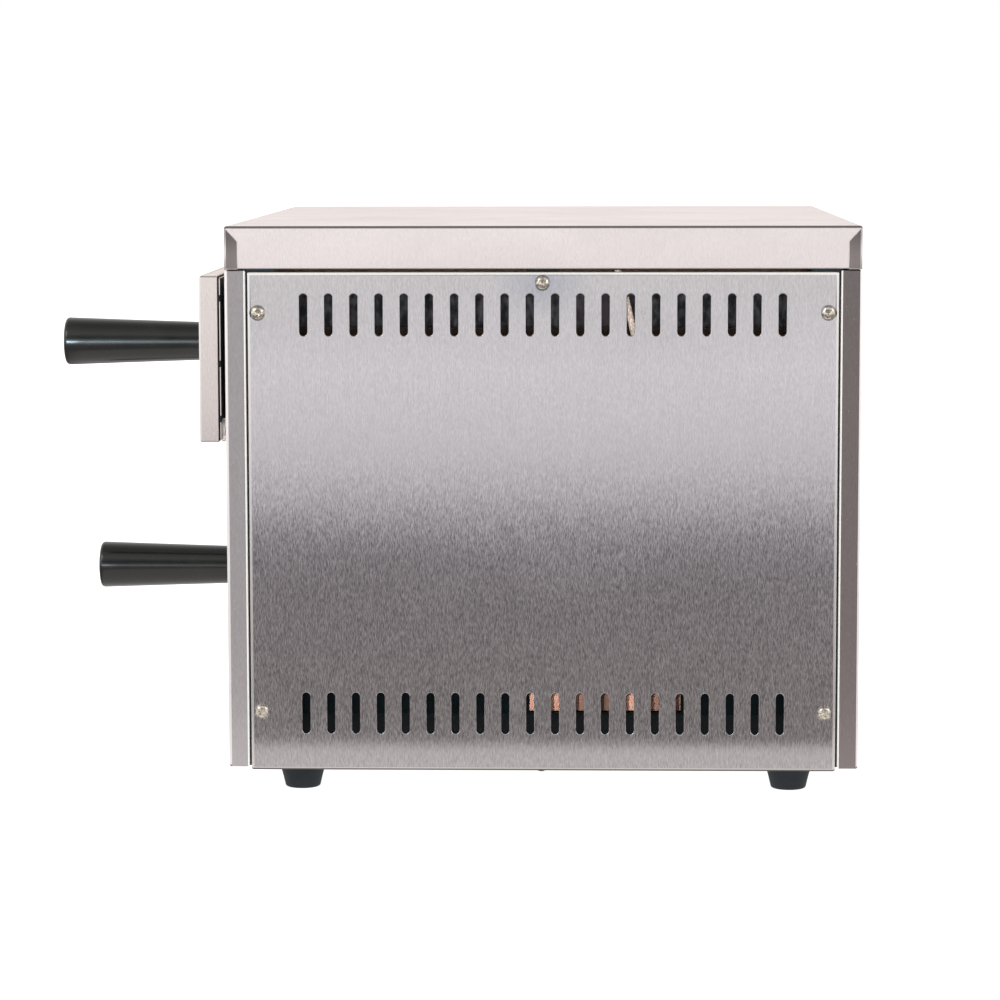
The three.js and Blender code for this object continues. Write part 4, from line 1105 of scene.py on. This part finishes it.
def heaters():
    _, y, height = span("upper_roof_element")
    z = sum(height) / 2
    near, far = FRONT + 45, FRONT + 375
    outer, inner, middle_run = (DOOR_MIDDLE + k for k in (140, 85, 25))
    right = [
        (outer, near, z), (outer, far, z), (inner, far, z), (inner, near + 60, z),
        (middle_run, near + 60, z), (middle_run, y[1], z),
    ]
    left = [(2 * DOOR_MIDDLE - x, y, z) for x, y, z in reversed(right)]
    heater("roof_heater", "upper_roof_element", [*left, *right], 26)

    x, _, height = span("upper_floor_element")
    z = sum(height) / 2
    left, right, out = CHAMBER_X[0] + 27, CHAMBER_X[1] - 46, x[1]
    near, next_run, far = (FRONT + k for k in (55, 120, 395))
    heater("floor_heater", "upper_floor_element", [
        (out, FLOOR_Y[0], z), (left + 60, FLOOR_Y[0], z), (left + 60, next_run, z), (right, next_run, z),
        (right, near, z), (left, near, z), (left, far, z), (right, far, z), (right, FLOOR_Y[1], z),
        (out, FLOOR_Y[1], z),
    ], 26)

    _, y, height = span("drawer_element")
    z = sum(height) / 2
    near, far = FRONT + 60, FRONT + 370
    right = [
        (20, y[1], z), (20, near + 70, z), (110, near + 70, z), (110, far, z), (215, far, z), (215, near, z),
    ]
    left = [(-x, y, z) for x, y, z in reversed(right)]
    heater("drawer_heater", "drawer_element", [*right, *left], 28)


heaters()


def lead():
    """The sleeved lead from the floor heater, up beside the chamber and over it to the thermostat."""
    bm = bmesh.new()
    start = CHAMBER_X[1] - THIN + 13.3
    knob_x, knob_z = middle("thermostat_knob_upper")
    over = CHAMBER_Z[1] - THIN + 30
    corners = [
        (start, FLOOR_Y[0], CHAMBER_Z[0] + THIN + 5),
        (start + 9, FLOOR_Y[0], CHAMBER_Z[0] + THIN + 5),
        (start + 9, MIDDLE + 56, 374),
        (start - 20, MIDDLE + 48, over),
        (-137, MIDDLE + 10, over),
        (knob_x + 14, FRONT + 110, over - 18),
        (knob_x + 6, FRONT + 70, knob_z + 4),
        (knob_x + 6, FRONT + 32.9, knob_z + 4),
    ]
    tube(bm, route(corners, 22, 12), 2.5, 16)
    place_piece("sleeved_lead", bm, SLEEVE, "casing", ["element_lead"], sharp=60)


lead()


# ---- controls
def knob(name, node, body):
    bm = bmesh.new()
    x, z = middle(node)
    low, high = span(node)[1]
    face = FRONT - 1
    tall = face - low
    profile = [
        (0, 0.0), (20.2, 0.0), (21.0, 0.5), (21.0, 1.6), (20.4, 2.2), (18.2, 3.2), (16.6, 3.8), (16.0, 4.6),
        (15.3, tall - 5.2), (14.7, tall - 4.0), (13.6, tall - 3.2), (9.0, tall - 3.0), (0, tall - 3.0),
    ]
    lathe(bm, profile, (0, -1, 0), (x, face, z), 72)
    soft_box(bm, [(x - 3.3, x + 3.3), (low + 0.02, face - 3.2), (z - 14.6, z + 14.6)], 0.9, 4)
    block(bm, (x - 0.6, x + 0.6), (low, low + 0.6), (z + 4, z + 13.4), 1)
    block(bm, (x - 0.6, x + 0.6), (face - 2.35, face - 1.2), (z + 18.2, z + 20.6), 1)
    lathe(bm, [(0, 0), (2.9, 0), (2.9, 9), (0, 9)], (0, 1, 0), (x, face - 1, z), 24)
    place_piece(name, bm, [KNOB, POINTER], body, [node], sharp=40)


knob("upper_thermostat_dial", "thermostat_knob_upper", "upper_thermostat_knob")
knob("lower_thermostat_dial", "thermostat_knob_lower", "lower_thermostat_knob")
knob("timer_dial_cap", "timer_knob", "timer_dial")


def letters(bm, text, size, x, z):
    curve = bpy.data.curves.new("mark", "FONT")
    curve.body = text
    curve.size = size * MM
    curve.align_x, curve.align_y = "CENTER", "CENTER"
    curve.extrude = 0.03 * MM
    mark = bpy.data.objects.new("mark", curve)
    scene.collection.objects.link(mark)
    bpy.context.view_layer.update()
    mesh = bpy.data.meshes.new_from_object(mark.evaluated_get(bpy.context.evaluated_depsgraph_get()))
    upright = Matrix.Scale(1 / MM, 4) @ Matrix.Rotation(math.radians(90), 4, "X")
    mesh.transform(Matrix.Translation((x, FRONT - 0.05, z)) @ upright)
    bm.from_mesh(mesh)
    bpy.data.objects.remove(mark)
    bpy.data.curves.remove(curve)
    bpy.data.meshes.remove(mesh)


def tick(bm, x, z, angle, inner, outer, width):
    """A short printed line that points at (x, z)."""
    out = Vector((math.sin(angle), 0, math.cos(angle)))
    side = Vector((math.cos(angle), 0, -math.sin(angle))) * width / 2
    at = Vector((x, 0, z))
    ring = []
    for depth in (FRONT - 0.08, FRONT + 0.02):
        ring.append([bm.verts.new(at + out * r + side * k + Vector((0, depth, 0)))
                     for r, k in ((inner, 1), (outer, 1), (outer, -1), (inner, -1))])
    front, back = ring
    bm.faces.new(front)
    bm.faces.new(back)
    for i in range(4):
        j = (i + 1) % 4
        bm.faces.new((front[i], front[j], back[j], back[i]))


def print_dials():
    """Generic numbers and ticks printed round the three knobs."""
    bm = bmesh.new()
    dials = [
        ("thermostat_knob_upper", ["0", "50", "100", "150", "200", "250", "300"], 270),
        ("thermostat_knob_lower", ["0", "50", "100", "150", "200", "250", "300"], 270),
        ("timer_knob", ["0", "5", "10", "15", "20", "25", "30"], 300),
    ]
    for node, numbers, turn in dials:
        x, z = middle(node)
        last = len(numbers) - 1
        for i in range(last * 2 + 1):
            angle = math.radians(turn * i / (last * 2))
            main = i % 2 == 0
            tick(bm, x, z, angle, 22.4, 24.6 if main else 23.6, 0.5 if main else 0.35)
            if main:
                letters(bm, numbers[i // 2], 3.6, x + 27.4 * math.sin(angle), z + 27.0 * math.cos(angle))
    place_piece("dial_marks", bm, PRINT, "casing", sharp=30)


print_dials()


def lamp(name, node):
    bm = bmesh.new()
    x, z = middle(node)
    ring = [
        (0, -1.0), (5.9, -1.0), (6.4, 0.0), (6.4, 0.7), (6.0, 1.4), (5.2, 1.7), (4.5, 1.5), (4.3, 0.9),
        (0, 0.9),
    ]
    dome = [
        (0, -15), (3.6, -15), (3.6, 0.8), (4.2, 0.8), (4.2, 1.8), (4.0, 2.6), (3.3, 3.4), (2.2, 4.0),
        (0, 4.3),
    ]
    for kind, profile in ((1, ring), (0, dome)):
        lathe(bm, profile, (0, -1, 0), (x, FRONT - 0.3, z), 40, kind)
    place_piece(name, bm, [LENS, NICKEL], "casing", [node], sharp=40)


lamp("upper_pilot_lamp", "indicator_lamp_upper")
lamp("lower_pilot_lamp", "indicator_lamp_lower")
dress("power_switch_housing", PLASTIC, 0.35, 3)
dress("power_rocker", KNOB, 0.3, 3)
for node in ("thermostat_body_upper", "thermostat_body_lower", "timer_body", "terminal_block"):
    dress(node, CERAMIC, 0.5, 3)


def gland():
    bm = bmesh.new()
    x, z = middle("cable_gland")
    tip = span("cable_gland")[1][1] - BACK
    body = [
        (4.2, -9), (7.9, -9), (8, -1), (8, 0.3), (12.6, 0.3), (13, 0.8), (13, 6.2), (12.4, 7.0), (10.8, 7.2),
        (10.6, 8.0), (11.0, 9.0), (11.0, 16.0), (10.3, 18.2), (8.8, 20.2), (8.2, tip - 0.4), (7.6, tip),
        (5.0, tip), (4.3, tip - 0.8), (4.2, -9),
    ]
    lathe(bm, body, (0, 1, 0), (x, BACK, z), 48)
    for i in range(14):
        a = 2 * math.pi * i / 14
        rib = Vector((math.cos(a), 0, math.sin(a))) * 11.0
        lathe(bm, [(0, 9.4), (0.55, 9.6), (0.6, 15.6), (0, 16)], (0, 1, 0), (x + rib.x, BACK, z + rib.z), 8)
    nut = [(6, -6.5), (12.5, -6.5), (12.5, -1.7), (6, -1.7), (6, -6.5)]
    lathe(bm, nut, (0, 1, 0), (x, BACK, z), 6)
    place_piece("gland_body", bm, PLASTIC, "casing", ["cable_gland"], sharp=35)


gland()


# ---- camera
def camera():
    data = bpy.data.cameras.new("camera")
    data.sensor_width = 36
    data.lens = 122.4
    data.clip_start, data.clip_end = 0.05, 60
    eye = bpy.data.objects.new("camera", data)
    yaw, pitch, roll = (math.radians(a) for a in (1.685, -6.353, 0.104))
    turn = (
        Matrix.Rotation(math.pi / 2 + yaw, 4, "Z")
        @ Matrix.Rotation(math.pi / 2 + pitch, 4, "X")
        @ Matrix.Rotation(-roll, 4, "Z")
    )
    eye.matrix_world = Matrix.Translation((2.7076, 0.10245, 0.4850)) @ turn
    scene.collection.objects.link(eye)
    scene.camera = eye


# ---- floor, light and what the steel reflects
def backdrop_disc(name, radius, height, material):
    bm = bmesh.new()
    turns = [2 * math.pi * i / 96 for i in range(96)]
    bm.faces.new([bm.verts.new((radius * math.cos(a), radius * math.sin(a), height)) for a in turns])
    mesh = bpy.data.meshes.new(name)
    bm.to_mesh(mesh)
    bm.free()
    mesh.materials.append(material)
    disc = bpy.data.objects.new(name, mesh)
    scene.collection.objects.link(disc)
    return disc


def floor_material():
    """A pale matt floor, with a little glow so that it reads as white paper."""
    return Shade("floor_paper", Base_Color=(0.82, 0.82, 0.82, 1), Roughness=0.95, Specular_IOR_Level=0.0,
                 Emission_Color=(1, 1, 1, 1), Emission_Strength=0.96).material


# Metres beyond the oven's base, and the shade there
TABLE_REACH = 9.0
TABLE_GLOW = [
    (0.0, (0.74, 0.72, 0.71)), (0.180, (0.74, 0.72, 0.71)), (0.190, (0.31, 0.29, 0.285)),
    (1.25, (0.29, 0.275, 0.28)), (1.55, (0.36, 0.35, 0.36)), (1.95, (0.70, 0.69, 0.71)),
    (2.4, (0.88, 0.87, 0.90)), (3.6, (0.98, 0.97, 1.0)), (6.0, (1.0, 1.0, 1.0)),
]
TABLE_COVER = [(0.0, 1.0), (6.5, 1.0), (8.8, 0.0)]


def table_material():
    """Seen only in reflections: a grey table round the object that fades to light further out."""
    material = bpy.data.materials.new("table_reflection")
    g = Graph(material, "Position", "NewGeometry")
    beyond = []
    for index, centre, half in ((0, 0.0, 0.285), (1, MIDDLE * MM, 0.2275)):
        away = g.math("ABSOLUTE", g.math("SUBTRACT", g.axis(index), centre))
        beyond.append(g.math("MAXIMUM", g.math("SUBTRACT", away, half), 0.0))
    distance = g.new("VectorMath", g.new("CombineXYZ", *beyond), out="Value", operation="LENGTH")
    share = g.math("MULTIPLY", distance, 1 / TABLE_REACH)
    glow, cover = (g.ramp(share, [(place / TABLE_REACH, shade) for place, shade in stops])
                   for stops in (TABLE_GLOW, TABLE_COVER))
    g.new("OutputMaterial", g.new("MixShader", cover, g.new("BsdfTransparent"), g.new("Emission", glow)))
    return material


SKY_BANDS = [(0.0, 1.0), (0.05, 1.15), (0.16, 1.10), (0.30, 0.64), (0.62, 0.70), (0.86, 0.50), (1.0, 0.30)]


def world():
    """White to the camera. Reflections and light see bands: bright low down, dim overhead and ahead."""
    scene.world = bpy.data.worlds.new("studio")
    g = Graph(scene.world, "Generated")
    bands = g.ramp(g.axis(2), SKY_BANDS)
    ahead, above = g.range(g.axis(0), 0.78, 0.94, 0.0, 1.0), g.range(g.axis(2), 0.04, 0.14, 0.0, 0.80)
    banded = g.new("Background", g.mix(g.math("MULTIPLY", ahead, above), bands, (0.05, 0.05, 0.055)))
    white = g.new("Background", (1.0, 1.0, 1.0))
    g.new("OutputWorld", g.new("MixShader", g.new("LightPath", out="Is Camera Ray"), banded, white))


def softbox(name, at, aim, size, power):
    data = bpy.data.lights.new(name, "AREA")
    data.shape = "RECTANGLE"
    data.size, data.size_y = size
    data.energy = power
    box = bpy.data.objects.new(name, data)
    box.location = at
    box.rotation_euler = (Vector(aim) - Vector(at)).to_track_quat("-Z", "Y").to_euler()
    scene.collection.objects.link(box)
    box.visible_camera = False
    return box


def light_link(lamp, name, state="INCLUDE"):
    """Lets a lamp light one piece only, or everything except it."""
    group = bpy.data.collections.new(f"{lamp.name}_receivers")
    group.objects.link(bpy.data.objects[name])
    group.collection_objects[0].light_linking.link_state = state
    lamp.light_linking.receiver_collection = group


# Name, place, what it points at, size, power, and the one piece that it lights
BEAMS = [
    ("slot_beam", (2.7, -0.15, 0.49), (0.26, 0.1, 0.06), (0.08, 0.08), 46, "wool_lower"),
    ("lead_beam", (2.7, -0.1, 0.6), (0.26, 0.13, 0.35), (0.08, 0.08), 40, "sleeved_lead"),
    ("base_glow", (0.13, 0.06, 0.052), (0.13, 0.06, 0.0), (0.26, 0.40), 0.02, "casing_base"),
]


def stage_set():
    backdrop_disc("floor", 30.0, 0.0, floor_material())
    table = backdrop_disc("table_card", TABLE_REACH, 0.001, table_material())
    for sense in ("camera", "diffuse", "shadow", "transmission"):
        setattr(table, f"visible_{sense}", False)
    world()
    key = softbox("key_light", (2.4, -2.6, 2.6), (0, 0, 0.2), (1.6, 1.6), 26)
    fill_in = softbox("fill_light", (1.8, 3.0, 2.2), (0, 0, 0.2), (1.8, 1.8), 14)
    for lamp_object in (key, fill_in):
        light_link(lamp_object, "lid_cover", "EXCLUDE")
    for grip, power in (("door_handle_grip", 40), ("drawer_handle_grip", 8)):
        strip = softbox(f"{grip}_strip", (3.3, -1.2, 0.24), (0.0, -0.25, 0.24), (1.1, 0.34), power)
        strip.data.color = (0.70, 0.90, 1.0)
        light_link(strip, grip)
    for *settings, piece in BEAMS:
        light_link(softbox(*settings), piece)
    scene.view_settings.view_transform = "Standard"
    scene.view_settings.look = "None"


camera()
stage_set()
